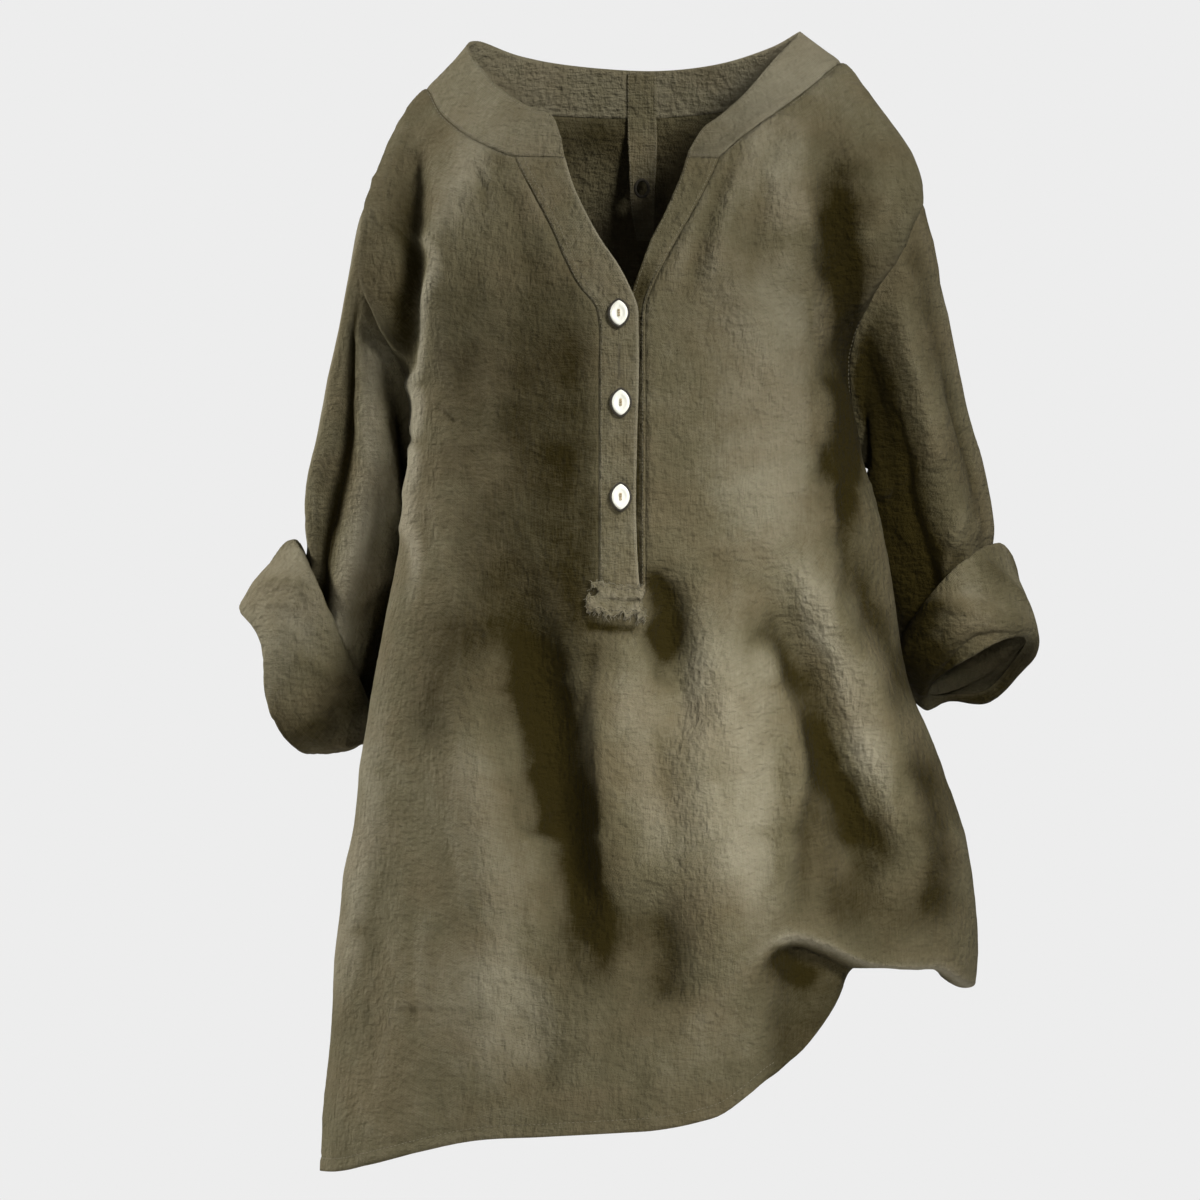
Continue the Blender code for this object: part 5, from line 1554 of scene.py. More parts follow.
def stitch_tree() -> Tree:
    """Geometry nodes: short threads laid end to end along lines."""
    graph, given, out = new_group(
        "stitch_run", "GeometryNodeTree",
        {"Lines": "Geometry", "Pitch": "Float", "Length": "Float", "Radius": "Float",
         "Seed": "Int", "Thread": "Material"}, {"Stitches": "Geometry"})
    points = along_lines(graph, given["Lines"], given["Pitch"])
    bead = graph.add("GeometryNodeMeshIcoSphere", {"Subdivisions": 1, "Radius": 1.0})
    half = graph.math("MULTIPLY", graph.math("MULTIPLY", given["Length"], 0.5),
                      vary(graph, *STITCH_VARIES, given["Seed"]))
    size = graph.add("ShaderNodeCombineXYZ", {0: given["Radius"], 1: given["Radius"],
                                              2: half})
    graph.feed(out, {0: set_threads(graph, points, bead, points.outputs["Tangent"], size,
                                    given)})
    return graph.tree


def fringe_tree() -> Tree:
    """Geometry nodes: loose bent threads that stand off lines."""
    graph, given, out = new_group(
        "frayed_edge", "GeometryNodeTree",
        {"Lines": "Geometry", "Spacing": "Float", "Length": "Float", "Radius": "Float",
         "Aim": "Vector", "Spread": "Float", "Seed": "Int", "Thread": "Material"},
        {"Threads": "Geometry"})
    points = along_lines(graph, given["Lines"], given["Spacing"])
    strand = graph.add("GeometryNodeCurveQuadraticBezier", STRAND)
    size = graph.add("ShaderNodeCombineXYZ", dict.fromkeys(range(3), given["Length"]))
    longer = graph.add("GeometryNodeTransform", {"Geometry": strand, "Scale": size})
    girth = graph.add("GeometryNodeCurvePrimitiveCircle",
                      {"Resolution": 4, "Radius": given["Radius"]})
    tube = graph.add("GeometryNodeCurveToMesh", {
        "Fill Caps": True, "Curve": longer, "Profile Curve": girth})
    stray = graph.add("FunctionNodeRandomValue", {
        0: (-1, -1, -1), 1: (1, 1, 1), "Seed": given["Seed"]}, data_type="FLOAT_VECTOR")
    scaled = graph.add("ShaderNodeVectorMath", {0: stray, "Scale": given["Spread"]},
                       operation="SCALE")
    aimed = graph.add("ShaderNodeVectorMath", {0: given["Aim"], 1: scaled},
                      operation="ADD")
    scale = vary(graph, *FRINGE_VARIES, given["Seed"])
    graph.feed(out, {0: set_threads(graph, points, tube, aimed, scale, given)})
    return graph.tree


def run_tree(name: str, tree: Tree, lines: Sequence[Array],
             values: dict[str, object]) -> Piece:
    """Runs a geometry tree on lines and keeps the result as a plain mesh.

    Args:
        name: The new piece's name.
        tree: The tree.
        lines: Each line's points, in millimetres.
        values: The tree's inputs by name.

    Returns:
        The piece, which rides on the body.
    """
    points = np.concatenate(lines) * MM
    edges, start = [], 0
    for line in lines:
        edges += [(start + k, start + k + 1) for k in range(len(line) - 1)]
        start += len(line)
    mesh = bpy.data.meshes.new(name + "_lines")
    mesh.from_pydata([tuple(p) for p in points], edges, [])
    source = placed(name + "_lines", mesh)
    modifier = source.modifiers.new("run", "NODES")
    modifier.node_group = tree
    sockets = {item.name: item.identifier for item in tree.interface.items_tree
               if item.in_out == "INPUT"}
    for label, value in values.items():
        modifier[sockets[label]] = value
    graph = bpy.context.evaluated_depsgraph_get()
    made = bpy.data.meshes.new_from_object(source.evaluated_get(graph))
    bpy.data.objects.remove(source, do_unlink=True)
    made.shade_smooth()
    return carry(placed(name, made), LINEN_SLOT)


def stitches(name: str, lines: Sequence[Array], kind: Sewing,
             thread: Material, seed: int) -> Piece:
    """Stitches along lines, as one piece."""
    pitch, length, radius = kind.value
    tree = bpy.data.node_groups.get("stitch_run") or stitch_tree()
    return run_tree(name, tree, lines, {
        "Pitch": pitch * MM, "Length": length * MM, "Radius": radius * MM,
        "Seed": seed, "Thread": thread})


def fringe(name: str, lines: Sequence[Array], aim: Sequence[float], length: float,
           spacing: float, thread: Material, seed: int) -> Piece:
    """Loose threads along lines, as one piece."""
    tree = bpy.data.node_groups.get("frayed_edge") or fringe_tree()
    return run_tree(name, tree, lines, {
        "Spacing": spacing * MM, "Length": length * MM, "Radius": FRINGE_RADIUS * MM,
        "Aim": aim, "Spread": FRINGE_SPREAD, "Seed": seed, "Thread": thread})

# ---------------------------------------------------------------- trim sizes
RELIEF_OF_PAINTED_SHADE = 2.8   # how far a stroke of painted light stands out, and one of painted shade sinks
PAINTED_LIGHT_OF_RELIEF = 0.13  # painted light: how much paler the cloth is per millimetre it rises, darker where it sinks
HEM_WIDTH = 9.0        # height of the narrow stitched hem
HEM_ENDS = (TURN_START - 10, TURN_START + 16)      # x over which it fades out
HEM_STITCHED = TURN_START + 14     # x up to which it is stitched
HEM_RISE = 0.9         # how far its doubled cloth rises
HEM_GROOVE = 1.1       # depth and half width of the groove of its stitches
HEM_GROOVE_REACH = 1.6
LIP_ENDS = (TURN_START - 6, TURN_START + 22)       # x over which the lip's painted highlight and shadow begin
LIP_MIDDLE = 0.22      # middle and half width of the painted highlight on the rim, as shares of the turn
LIP_REACH = 0.2
LIP_BEHIND = (0.45, 0.8)           # share of the turn over which the cloth behind the rim takes painted shadow
# Strength of the painted highlight on the rim and of the painted shadow behind it.
LIP_HIGHLIGHT = 1.3
LIP_SHADOW = 0.9
TURN_CALM = 0.45       # share of the relief that cloth turned under loses
SEAM_HOLDS = 8.0       # how far from a seam the cloth is held back
ALLOWANCE = 0.7        # how far a seam's allowance rises, and where it does and ends
ALLOWANCE_RISES = (0.0, 2.4)
ALLOWANCE_ENDS = (5.5, 11.0)
BAND_PAINTED_LIGHT = 0.5        # how much paler painted light makes the neckband than the body
BAND_LEFT = (60.0, 110.0)          # x over which its left side takes more painted light
BAND_LEFT_PAINTED_LIGHT = 0.5
SAG_RIGHT = (0.0, 1.0, 0.0)        # where a cuff sags, how wide and how far
SAG_LEFT = (258.0, 22.0, 11.0)
SAG_LEVELS = (385.0, 420.0)        # drop over which the sag grows
CUFF_INSET = 4.0       # how far in a cuff's row of stitches lies
FRINGE_INSET = 0.4
THREAD_CLEAR = 0.05
# Rows of stitches: edge, inset, and the first and last point.
ARMHOLE_ROWS = tuple((side, 3.0, 2, COUNTS.armhole + 1) for side in "lr")
FRONT_ROWS = (
    *ARMHOLE_ROWS, ("t", 2.2, 1, COUNTS.shoulder), ("t", 2.2, -COUNTS.shoulder, -1),
    ("t", 2.0, COUNTS.shoulder + 1, SLOT_FIRST - 1),
    ("t", 2.0, SLOT_LAST + 2, -COUNTS.shoulder - 2))
BACK_ROWS = (*ARMHOLE_ROWS, ("t", 2.0, COUNTS.shoulder + 1, -COUNTS.shoulder - 1))
OVER_ROWS = (("l", 1.8, 0, -2), ("r", 1.6, 0, -2), ("l", 6.2, 0, 26))
UNDER_ROWS = (("r", 1.8, 0, None), ("l", 1.6, 0, None))
PATCH_ROWS = (("t", 2.6, 3, -3), ("b", 4.2, 3, -3), ("l", 2.4, 4, -4), ("r", 2.6, 4, -4))
BAND_ROWS = (("b", 2.0, 2, -2), ("t", 1.8, 2, -2), ("l", 1.8, 0, None), ("r", 1.8, 0, None))
STRIP_ROWS = (("l", 0.9, 0, None), ("r", 0.9, 0, None))
BAND_WALL = 1.5        # wall of the neckband, two layers
STRIP_WALL = 1.2       # wall of a placket strip, two layers

# Frayed patch at the foot of the placket: its corners in the front view.
PATCH_TOP = ((-20.5, -349.5), (15.5, -352.5))
PATCH_FOOT = ((-22.5, -371.5), (17.5, -374.5))
PATCH_CELLS = (30, 46)
PATCH_LIFT = 1.9
PATCH_HOLE = (-17.9, -356.2, 2.6)      # centre and radius of the worn hole
PATCH_CURL = 1.6       # how far its lower left corner curls up
PATCH_WORN = 0.35      # how pale it is, and how much painted highlight it takes where it rises
PATCH_RELIEF_HIGHLIGHT = 0.7
PATCH_RAGGED = (2.8, 5.2, 2.6, 3.2)    # upper, lower, right and left edge
# Its loose threads: name, edges, aim, length, spacing and seed.
PATCH_FRINGES = (
    ("foot", "b", (0.0, -0.35, -1.0), 4.6, 0.75, 19),
    ("top", "t", (0.0, -0.4, 1.0), 2.4, 1.1, 23),
    ("sides", "rl", (0.2, -0.8, -0.5), 2.8, 1.2, 29),
)

# Strip inside the centre back and its eyelet.
STRIP_CENTRE = 15.0
STRIP = table(
    ("level", "half_width", "lean"),
    (-113, 6, 2.6), (-98, 7.6, 1.2), (-81, 8.7, 0.4), (-76.6, 8.8, 0.4),
    (-72.2, 9, 0.6), (-58, 9.6, 0.8), (-42, 10.2, 0.6), (-27, 10, 0.3),
    (-12, 10, 0), (2, 10, 0),
)
STRIP_CELLS = (150, 26)
STRIP_SEAT = (-24.0, 1.0)
STRIP_GAP = 1.2
STRIP_COARSE = 5       # rows from one to the next whose seat is looked up
STRIP_HANGS = (-16.0, -40.0)       # levels over which it comes free of the band
# How much paler the strip is than the body.
STRIP_PALENESS = 0.15
EYELET = (15.3, -76.6, 4.6, 5.9)       # centre and half axes of its hole
EYELET_BEAD = 1.15
EYELET_SIDES = 72

STRIP_RELIEF = 0.8     # how strongly the allowances show on the placket strips
EDGE_STANDS = 1.0      # how far the over-placket's free edge stands up
OVER_PAINTED_LIGHT = 0.18       # how much paler painted light makes the over-placket
EDGE_HIGHLIGHT = 0.75       # painted highlight on its free edge: how much paler, and how far in
EDGE_HIGHLIGHT_REACH = 1.6
UNDER_PAINTED_SHADOW = 1.1       # painted shadow of the over-placket on the under-placket where it shows
CREASE_BEND = 2.0      # how much the creases round a tube are bowed
SLEEVE_GAIN = 1.4      # how much higher than in its table a sleeve's crease is
CUFF_GAIN = 1.5        # the same for a cuff

BUTTON_LEVELS = (-164.9, -226.3, -291.2)
BUTTON_CENTRES = (-0.7, 0.7, 0.7)
BUTTON_WIDTH = 12.6
BUTTON_HEIGHT = 17.8
BUTTON_THICK = 2.4
BUTTON_POINT = 0.42     # how sharply the oval narrows to its two points
BUTTON_LIFT = 1.2
BUTTON_STEP = 4.0
BUTTON_SIDES = 72
BUTTON_SHADOW_RING = (1.07, 0.34)         # how far out and how high the dark ring of painted shadow lies
BUTTON_SHADOW_RING_RADIUS = 0.95
SHANK_STRANDS = (-0.6, -0.2, 0.2, 0.6)     # places of the strands across a button
SHANK_HALF = 1.7
SHANK_LEVEL = 0.74 * BUTTON_THICK + 0.4
# How far out and how high each ring of a button lies.
BUTTON_PROFILE = table(
    ("reach", "height"),
    (0, 0.7), (0.12, 0.7), (0.3, 0.7), (0.46, 0.74), (0.56, 0.86), (0.64, 0.96),
    (0.74, 1), (0.84, 0.98), (0.92, 0.88), (0.97, 0.72), (1, 0.52), (1, 0.36),
    (0.96, 0.16), (0.88, 0.04), (0.78, 0), (0, 0),
)
BUTTONHOLE = (-0.7, -186.0, -210.0)    # the mark between the two upper buttons
BUTTONHOLE_HALF = 0.55


@dataclass
class Kit:
    """The finishes that all the pieces share.

    Attributes:
        linen: Body cloth.
        pale: Thread a little lighter than the cloth.
        dark: Thread darker than the cloth, and the painted shadow ring under each button.
        cream: Thread that holds the buttons.
        shell: The buttons.
    """

    linen: Material
    pale: Material
    dark: Material
    cream: Material
    shell: Material


def seam_relief(distance: Array, points: Array) -> Array:
    """Raised allowance beside a seam, drawn uneven by its stitches."""
    pull = 0.3 + 1.3 * FINE.at(points, (8, 8, 8))
    rises = ease(distance, *ALLOWANCE_RISES) * (1 - ease(distance, *ALLOWANCE_ENDS))
    return ALLOWANCE * pull * rises


def work(cloth: Cloth, sewn_edge: Array, height: Array, relief: float = 1.0) -> Cloth:
    """Lifts the cloth by height, held back where it is sewn, and paints light and shade by it.

    Args:
        cloth: The piece.
        sewn_edge: Distance of each point from the nearest sewn edge.
        height: How far each point rises.
        relief: How strongly the seams' allowances show.

    Returns:
        The piece.
    """
    cloth.lift(height * ease(sewn_edge, 0.0, SEAM_HOLDS)
               + relief * seam_relief(sewn_edge, cloth.grid))
    # Painted light where the cloth rises, painted shade where it sinks.
    cloth.painted_shading_and_fade = cloth.painted_shading_and_fade + PAINTED_LIGHT_OF_RELIEF * np.clip(height, -3, 3)
    return cloth


def nearest(points: Array, marks: Array) -> Array:
    """Distance of each point from the nearest mark."""
    flat = points.reshape(-1, 3)
    found = np.full(len(flat), 1e6)
    for mark in marks:
        found = np.minimum(found, np.linalg.norm(flat - mark, axis=1))
    return found.reshape(points.shape[:-1])


def hem_relief(cloth: Cloth) -> Array:
    """The doubled narrow hem, with the groove of its stitching above it."""
    from_hem = cloth.from_edges("b")
    plain = 1 - ease(cloth.grid[..., 0], *HEM_ENDS)
    groove = HEM_GROOVE * bell(from_hem - HEM_WIDTH, HEM_GROOVE_REACH)
    puckers = HEM_RISE * (0.6 + 0.9 * FINE.at(cloth.grid, (5, 40, 14)))
    return plain * (puckers * (1 - ease(from_hem, HEM_WIDTH - 2, HEM_WIDTH)) - groove)


def painted_shade_strokes(points: Array, strokes: Table) -> Array:
    """Painted light and shade at the points, by listed strokes with uneven edges."""
    stray = wander(points, 12.0, (60, 200, 60))
    fray = 9.0 * (FINE.ridges(points + 300, (20, 200, 34), 2.0) - 0.4)
    x, z = points[..., 0] + stray + fray, points[..., 2] + stray
    return fold_height(x, z, strokes) * (0.75 + 0.5 * CRUMPLE.at(points, (26, 200, 34)))


def tube_creases(grid: Array, angles: Array, creases: Table) -> Array:
    """Heights of creases that are given by angle and share of a tube's length."""
    radius = float(np.linalg.norm(grid - grid.mean(axis=1, keepdims=True), axis=2).mean())
    steps = np.linalg.norm(np.diff(grid, axis=0), axis=2).mean(axis=1)
    down = np.concatenate([[0], np.cumsum(steps)])
    angle0, way0, angle1, way1, reach, height = creases.values()
    lines = dict(zip(STROKE, (
        np.radians(angle0) * radius, -way0 * down[-1], np.radians(angle1) * radius,
        -way1 * down[-1], np.full(len(reach), CREASE_BEND), reach, height)))
    total = np.zeros(grid.shape[:2])
    stray = wander(grid, 4.0, (30, 30, 40))
    for turn in (-1, 0, 1):
        x = (angles + turn * 2 * math.pi)[None, :] * radius + stray
        z = np.repeat(-down[:, None], grid.shape[1], axis=1) + stray
        total += fold_height(x, z, lines)
    return total * (0.6 + 0.8 * CRUMPLE.at(grid, (20, 20, 20)))


def bent_rim(grid: Array, angles: Array, rim: Sequence[float]) -> Array:
    """The cuff with part of its rim pushed along its axis.

    Args:
        grid: The cuff.
        angles: Angle of each column.
        rim: Angle of the pushed part, its half width in degrees, and how far out
            along the axis it goes.

    Returns:
        The cuff's grid.
    """
    middle, spread, reach = rim
    rows = np.linspace(0, 1, len(grid))
    centres = grid.mean(axis=1)
    turn = rows[int(np.argmax(np.linalg.norm(centres - centres[-1], axis=1)))]
    near = np.where(rows < turn, ease(rows, 0.0, turn), 1 - ease(rows, turn, 1.0) ** 1.5)
    axis = unit(centres[int(turn * (len(grid) - 1))] - centres[-1])
    waves = sum(share * np.sin(count * angles + start) for count, start, share in RIM_WAVES)
    push = reach * (bell(aside_of(angles, middle), spread) + waves)
    return grid + near[:, None, None] * push[None, :, None] * axis


class Body:
    """Front and back panels, sewn at the shoulders and the sides."""

    def __init__(self) -> None:
        """Lays out both grids and joins them along their seams."""
        stations = upper_stations()
        self.front_form = front_grid(stations)
        self.back_form = back_grid(stations)
        for seam in (0, -1):
            self.back_form[COUNTS.armhole:, seam] = self.front_form[COUNTS.armhole:, seam]
        for part in (slice(0, COUNTS.shoulder + 1), slice(-COUNTS.shoulder - 1, None)):
            self.back_form[0, part] = self.front_form[0, part]
        self.front = self.work_front()
        back = Cloth("back_cloth", self.back_form.copy(), flip=True)
        height = self.relief(back, CREASES_BACK, PAINTED_SHADE_BACK)
        self.back = work(back, back.from_edges("tlr"), height)

    def work_front(self) -> Cloth:
        """The front with its slot cut, its creases and its crumple."""
        rows, columns = self.front_form.shape[:2]
        cells = np.ones((rows - 1, columns - 1), dtype=bool)
        cells[:SLOT_ROW, SLOT_FIRST:SLOT_LAST] = False
        front = Cloth("front_cloth", self.front_form.copy(), cells=cells)
        slot = np.concatenate([front.grid[:SLOT_ROW + 1, SLOT_FIRST],
                               front.grid[:SLOT_ROW + 1, SLOT_LAST],
                               front.grid[SLOT_ROW, SLOT_FIRST:SLOT_LAST]])
        seams = np.minimum(front.from_edges("tlr"), nearest(front.grid, slot))
        height = self.relief(front, CREASES_FRONT, PAINTED_SHADE_FRONT)
        # Painted highlight on the turned hem's rim and painted shadow under it.
        front.painted_shading_and_fade += self.lip_painted_light(front.grid)
        return work(front, seams, height)

    def lip_painted_light(self, grid: Array) -> Array:
        """Painted highlight on the rim of the turned hem, and painted shadow on the cloth
        behind it.
        """
        first = len(grid) - 1 - COUNTS.turn - COUNTS.hem
        way = (np.arange(len(grid))[:, None] - first) / COUNTS.turn
        turned = ease(grid[..., 0], *LIP_ENDS)
        rim = bell(way - LIP_MIDDLE, LIP_REACH)
        return turned * (LIP_HIGHLIGHT * rim - LIP_SHADOW * ease(way, *LIP_BEHIND))

    def relief(self, cloth: Cloth, creases: Table, wear_and_painted_shade: Table) -> Array:
        """Paints a panel's light and shade and gives its relief, less where it is turned
        under.
        """
        cloth.painted_shading_and_fade = painted_shade_strokes(cloth.grid, wear_and_painted_shade)
        height = (placed_creases(cloth.grid, creases) + crumple(cloth.grid)
                  + RELIEF_OF_PAINTED_SHADE * cloth.painted_shading_and_fade + hem_relief(cloth))
        last = len(height) - COUNTS.hem - COUNTS.turn
        turned = ease(np.arange(len(height)), last, last + COUNTS.turn)
        return height * (1 - TURN_CALM * turned)[:, None]


    def build(self, kit: Kit) -> None:
        """Builds both panels with their stitching."""
        (front, front_sewing), (back, back_sewing) = (
            sewn(panel, node, kit, Sewing.TOPSTITCH, seed,
                 panel.rows(rows) + [self.hem_line(panel)])
            for panel, node, seed, rows in ((self.front, "front_panel", 3, FRONT_ROWS),
                                            (self.back, "back_panel", 5, BACK_ROWS)))

    def hem_line(self, panel: Cloth) -> Array:
        """Where a panel's narrow hem is stitched, as far as it is plain."""
        hem = panel.line("b", HEM_WIDTH)
        return hem[hem[:, 0] < HEM_STITCHED]


def sewn(cloth: Cloth, node: str, kit: Kit, kind: Sewing, seed: int,
         lines: Sequence[Array]) -> tuple[Piece, Piece]:
    """Builds a cloth piece in a node's place, with stitches along lines.

    Args:
        cloth: The piece.
        node: The node that it replaces.
        kit: The finishes.
        kind: The kind of stitch.
        seed: Fixes how the stitches vary.
        lines: Where they run.

    Returns:
        The piece and its stitches.
    """
    name = cloth.name.replace("_cloth", "_stitching")
    stitching = stitches(name, lines, kind, kit.pale, seed)
    return cloth.build(kit.linen, node), stitching


@dataclass(frozen=True)
class Side:
    """Tables of one sleeve and its cuff, named as the wearer has them.

    Attributes:
        name: Which side.
        seam: Column of the body's grids that the sleeve is sewn to.
        lead: Its first step away from the armhole.
        sections: Its sections below.
        folds: Its lengthwise folds.
        creases: Its creases.
        wear_and_painted_shade: Its strokes of painted light and shade.
        cuff: Sections of its cuff.
        cuff_painted_shade: The cuff's strokes of painted light and shade.
        rim: How the cuff's rim bends.
        sag: Where the cuff sags, how wide and how far.
    """

    name: str
    seam: int
    lead: Sequence[float]
    sections: Table
    folds: Table
    creases: Table
    wear_and_painted_shade: Table
    cuff: Table
    cuff_painted_shade: Table
    rim: Sequence[float]
    sag: Sequence[float]


SIDES = (
    Side("right", 0, RIGHT_LEAD, RIGHT_SLEEVE, FOLDS_RIGHT_SLEEVE, CREASES_RIGHT_SLEEVE,
         PAINTED_SHADE_RIGHT_SLEEVE, RIGHT_CUFF, PAINTED_SHADE_RIGHT_CUFF, RIM_RIGHT, SAG_RIGHT),
    Side("left", -1, LEFT_LEAD, LEFT_SLEEVE, FOLDS_LEFT_SLEEVE, CREASES_LEFT_SLEEVE,
         PAINTED_SHADE_LEFT_SLEEVE, LEFT_CUFF, PAINTED_SHADE_LEFT_CUFF, RIM_LEFT, SAG_LEFT),
)


class Sleeve:
    """One sleeve with its turned-back cuff."""

    def __init__(self, side: Side, body: Body) -> None:
        """Lays out the sleeve from its armhole in the body."""
        self.name = side.name
        loop = armhole_loop(body.front_form, body.back_form, side.seam)
        self.angles = loop_angles(loop)
        around = {"closed": True, "flip": side.seam != 0}
        tube = Cloth(f"{side.name}_sleeve_cloth",
                     sleeve_grid(loop, side.lead, side.sections, side.folds), **around)
        self.tube = self.work_tube(tube, side.wear_and_painted_shade, side.creases, SLEEVE_GAIN, "tb", 1.0)
        grid = bent_rim(through(rings_of(side.cuff, self.angles), COUNTS.cuff_span),
                        self.angles, side.rim)
        middle, spread, sag = side.sag
        near = bell(grid[..., 0] - middle, spread)
        grid[..., 2] -= sag * near * ease(-grid[..., 2], *SAG_LEVELS)
        cuff = Cloth(f"{side.name}_cuff_cloth", grid, wall=CUFF_WALL, **around)
        self.cuff = self.work_tube(cuff, side.cuff_painted_shade, CREASES_CUFF, CUFF_GAIN, "t", 0.0)

    def work_tube(self, tube: Cloth, wear_and_painted_shade: Table, creases: Table, gain: float, edges: str,
                  relief: float) -> Cloth:
        """The tube with its painted light and shade, its creases and its crumple.

        Args:
            tube: The sleeve or its cuff.
            wear_and_painted_shade: Its strokes of painted light and shade.
            creases: Its creases.
            gain: How much higher they are than their table says.
            edges: Its sewn edges.
            relief: How strongly their allowances show.

        Returns:
            The piece.
        """
        tube.painted_shading_and_fade = strokes_round(self.angles, len(tube.grid), wear_and_painted_shade)
        height = gain * tube_creases(tube.grid, self.angles, creases) + crumple(tube.grid)
        return work(tube, tube.from_edges(edges), height, relief)

    def build(self, kit: Kit) -> None:
        """Builds the sleeve and its cuff."""
        turned = self.cuff.line("b", CUFF_INSET)
        tube = self.tube.build(kit.linen, f"{self.name}_sleeve")
        cuff, sewing = sewn(self.cuff, f"{self.name}_cuff", kit, Sewing.TOPSTITCH, 7,
                            [np.concatenate([turned, turned[:1]])])


class Placket:
    """Over- and under-placket, the frayed patch at their foot and the buttonhole."""

    def __init__(self, body: Body) -> None:
        """Lays out both strips along the front's slot."""
        over = Cloth("over_placket_cloth", over_grid(body.front_form), wall=STRIP_WALL)
        under = Cloth("under_placket_cloth", under_grid(body.front_form), wall=STRIP_WALL)
        self.over_form, self.under_form = over.grid, under.grid
        free = over.from_edges("r")
        # Painted light on the over-placket, and a painted highlight along its free edge.
        over.painted_shading_and_fade = OVER_PAINTED_LIGHT + EDGE_HIGHLIGHT * bell(free, EDGE_HIGHLIGHT_REACH)
        pucker = 0.9 * (FINE.at(over.grid, (14, 30, 5.5)) - 0.5)
        height = crumple(over.grid, 0.55) + pucker + EDGE_STANDS * (1 - ease(free, 0.0, 9.0))
        self.over = work(over, over.from_edges("tl"), height, STRIP_RELIEF)
        # Painted shadow of the over-placket on the under-placket where it shows.
        shows = ease(under.from_edges("r"), 2.5, 7.0)
        under.painted_shading_and_fade = -UNDER_PAINTED_SHADOW * shows * ease(-under.grid[..., 2], 118.0, 150.0)
        self.under = work(under, under.from_edges("tr"), crumple(under.grid, 0.45),
                          STRIP_RELIEF)
        self.patch = self.lay_patch(body)

    def lay_patch(self, body: Body) -> Cloth:
        """The patch, ragged at its edges, on the front and the over-placket."""
        down, across = (np.linspace(0, 1, n + 1) for n in PATCH_CELLS)
        upper, lower = (mix(*np.array(ends), across[:, None])
                        for ends in (PATCH_TOP, PATCH_FOOT))
        flat = self.ragged(mix(upper[None], lower[None], down[:, None, None]))
        near = body.front.grid[SLOT_ROW - 12:SLOT_ROW + 16, SLOT_FIRST - 14:SLOT_LAST + 14]
        depth = cast(flat[..., 0], flat[..., 1], (near, self.over.grid[-16:])) - PATCH_LIFT
        for _ in range(2):
            padded = np.pad(depth, 1, mode="edge")
            depth = np.min([padded[r:r + depth.shape[0], c:c + depth.shape[1]]
                            for r in range(3) for c in range(3)], axis=0)
        points = np.stack([flat[..., 0], depth, flat[..., 1]], axis=-1)
        fray = FINE.at(points, (4, 9, 4)) + 0.6 * FINE.at(points + 50, (1.7, 9, 1.7))
        middle = (points[:-1, :-1] + points[1:, 1:]) / 2
        x, z, radius = PATCH_HOLE
        reach = np.hypot(middle[..., 0] - x, middle[..., 2] - z)
        limit = radius * (0.7 + 0.5 * fray[:-1, :-1])
        patch = Cloth("patch_cloth", points, cells=reach > limit)
        curl = ease(points[..., 0], 8.0, 17.0) * ease(-points[..., 2], 362.0, 374.0)
        relief = 1.1 * (fray - 0.8) + 0.5 * FINE.ridges(points, (5, 9, 6), 3.0)
        patch.lift(relief + PATCH_CURL * curl)
        # The patch's own paleness, and painted highlight where it rises.
        patch.painted_shading_and_fade = PATCH_WORN + PATCH_RELIEF_HIGHLIGHT * relief
        return patch

    def ragged(self, flat: Array) -> Array:
        """The flat patch with its edges made ragged and uneven."""
        points = np.stack([flat[..., 0], np.zeros(flat.shape[:2]), flat[..., 1]], axis=-1)
        wear_and_painted_shade = 1.6 * (FINE.at(points + 200, (6, 6, 6)) - 0.5
                      + 0.8 * (FINE.at(points + 300, (2.1, 2.1, 2.1)) - 0.5))
        rows, columns = (np.linspace(0, 1, count) for count in flat.shape[:2])
        top, foot, right, left = PATCH_RAGGED
        down = top * (1 - rows) ** 3 + foot * rows ** 3
        across = right * (1 - columns) ** 4 + left * columns ** 4
        return flat + np.stack([wear_and_painted_shade * across, wear_and_painted_shade * down[:, None]], axis=-1)

    def build(self, kit: Kit) -> None:
        """Builds the strips, the patch, their stitching and the loose threads."""
        over, over_sewing = sewn(self.over, "placket_over", kit, Sewing.EDGE, 11,
                                 self.over.rows(OVER_ROWS))
        under, under_sewing = sewn(self.under, "placket_under", kit, Sewing.EDGE, 13,
                                   self.under.rows(UNDER_ROWS))
        self.build_patch(kit)
        self.build_buttonhole(kit)

    def build_patch(self, kit: Kit) -> None:
        """Builds the patch with its stitches and its fringe."""
        p = self.patch
        loose = [stitches("patch_stitching", p.rows(PATCH_ROWS), Sewing.EDGE, kit.dark, 17)]
        for name, edges, aim, length, spacing, seed in PATCH_FRINGES:
            lines = [p.line(edge, FRINGE_INSET) for edge in edges]
            loose.append(fringe(f"patch_fringe_{name}", lines, aim, length, spacing,
                                kit.pale, seed))
        patch = p.build(kit.linen, "placket_patch")

    def build_buttonhole(self, kit: Kit) -> None:
        """Builds the worked buttonhole between the two upper buttons."""
        x, top, foot = BUTTONHOLE
        levels = np.linspace(top, foot, 25)
        lines = []
        for side in (x - BUTTONHOLE_HALF, x + BUTTONHOLE_HALF):
            across = np.full_like(levels, side)
            depth = cast(across, levels, (self.over.grid,)) - STRIP_WALL / 2 - THREAD_CLEAR
            lines.append(np.stack([across, depth, levels], axis=-1))
        stitches("buttonhole_stitching", lines, Sewing.HOLE, kit.dark, 31)


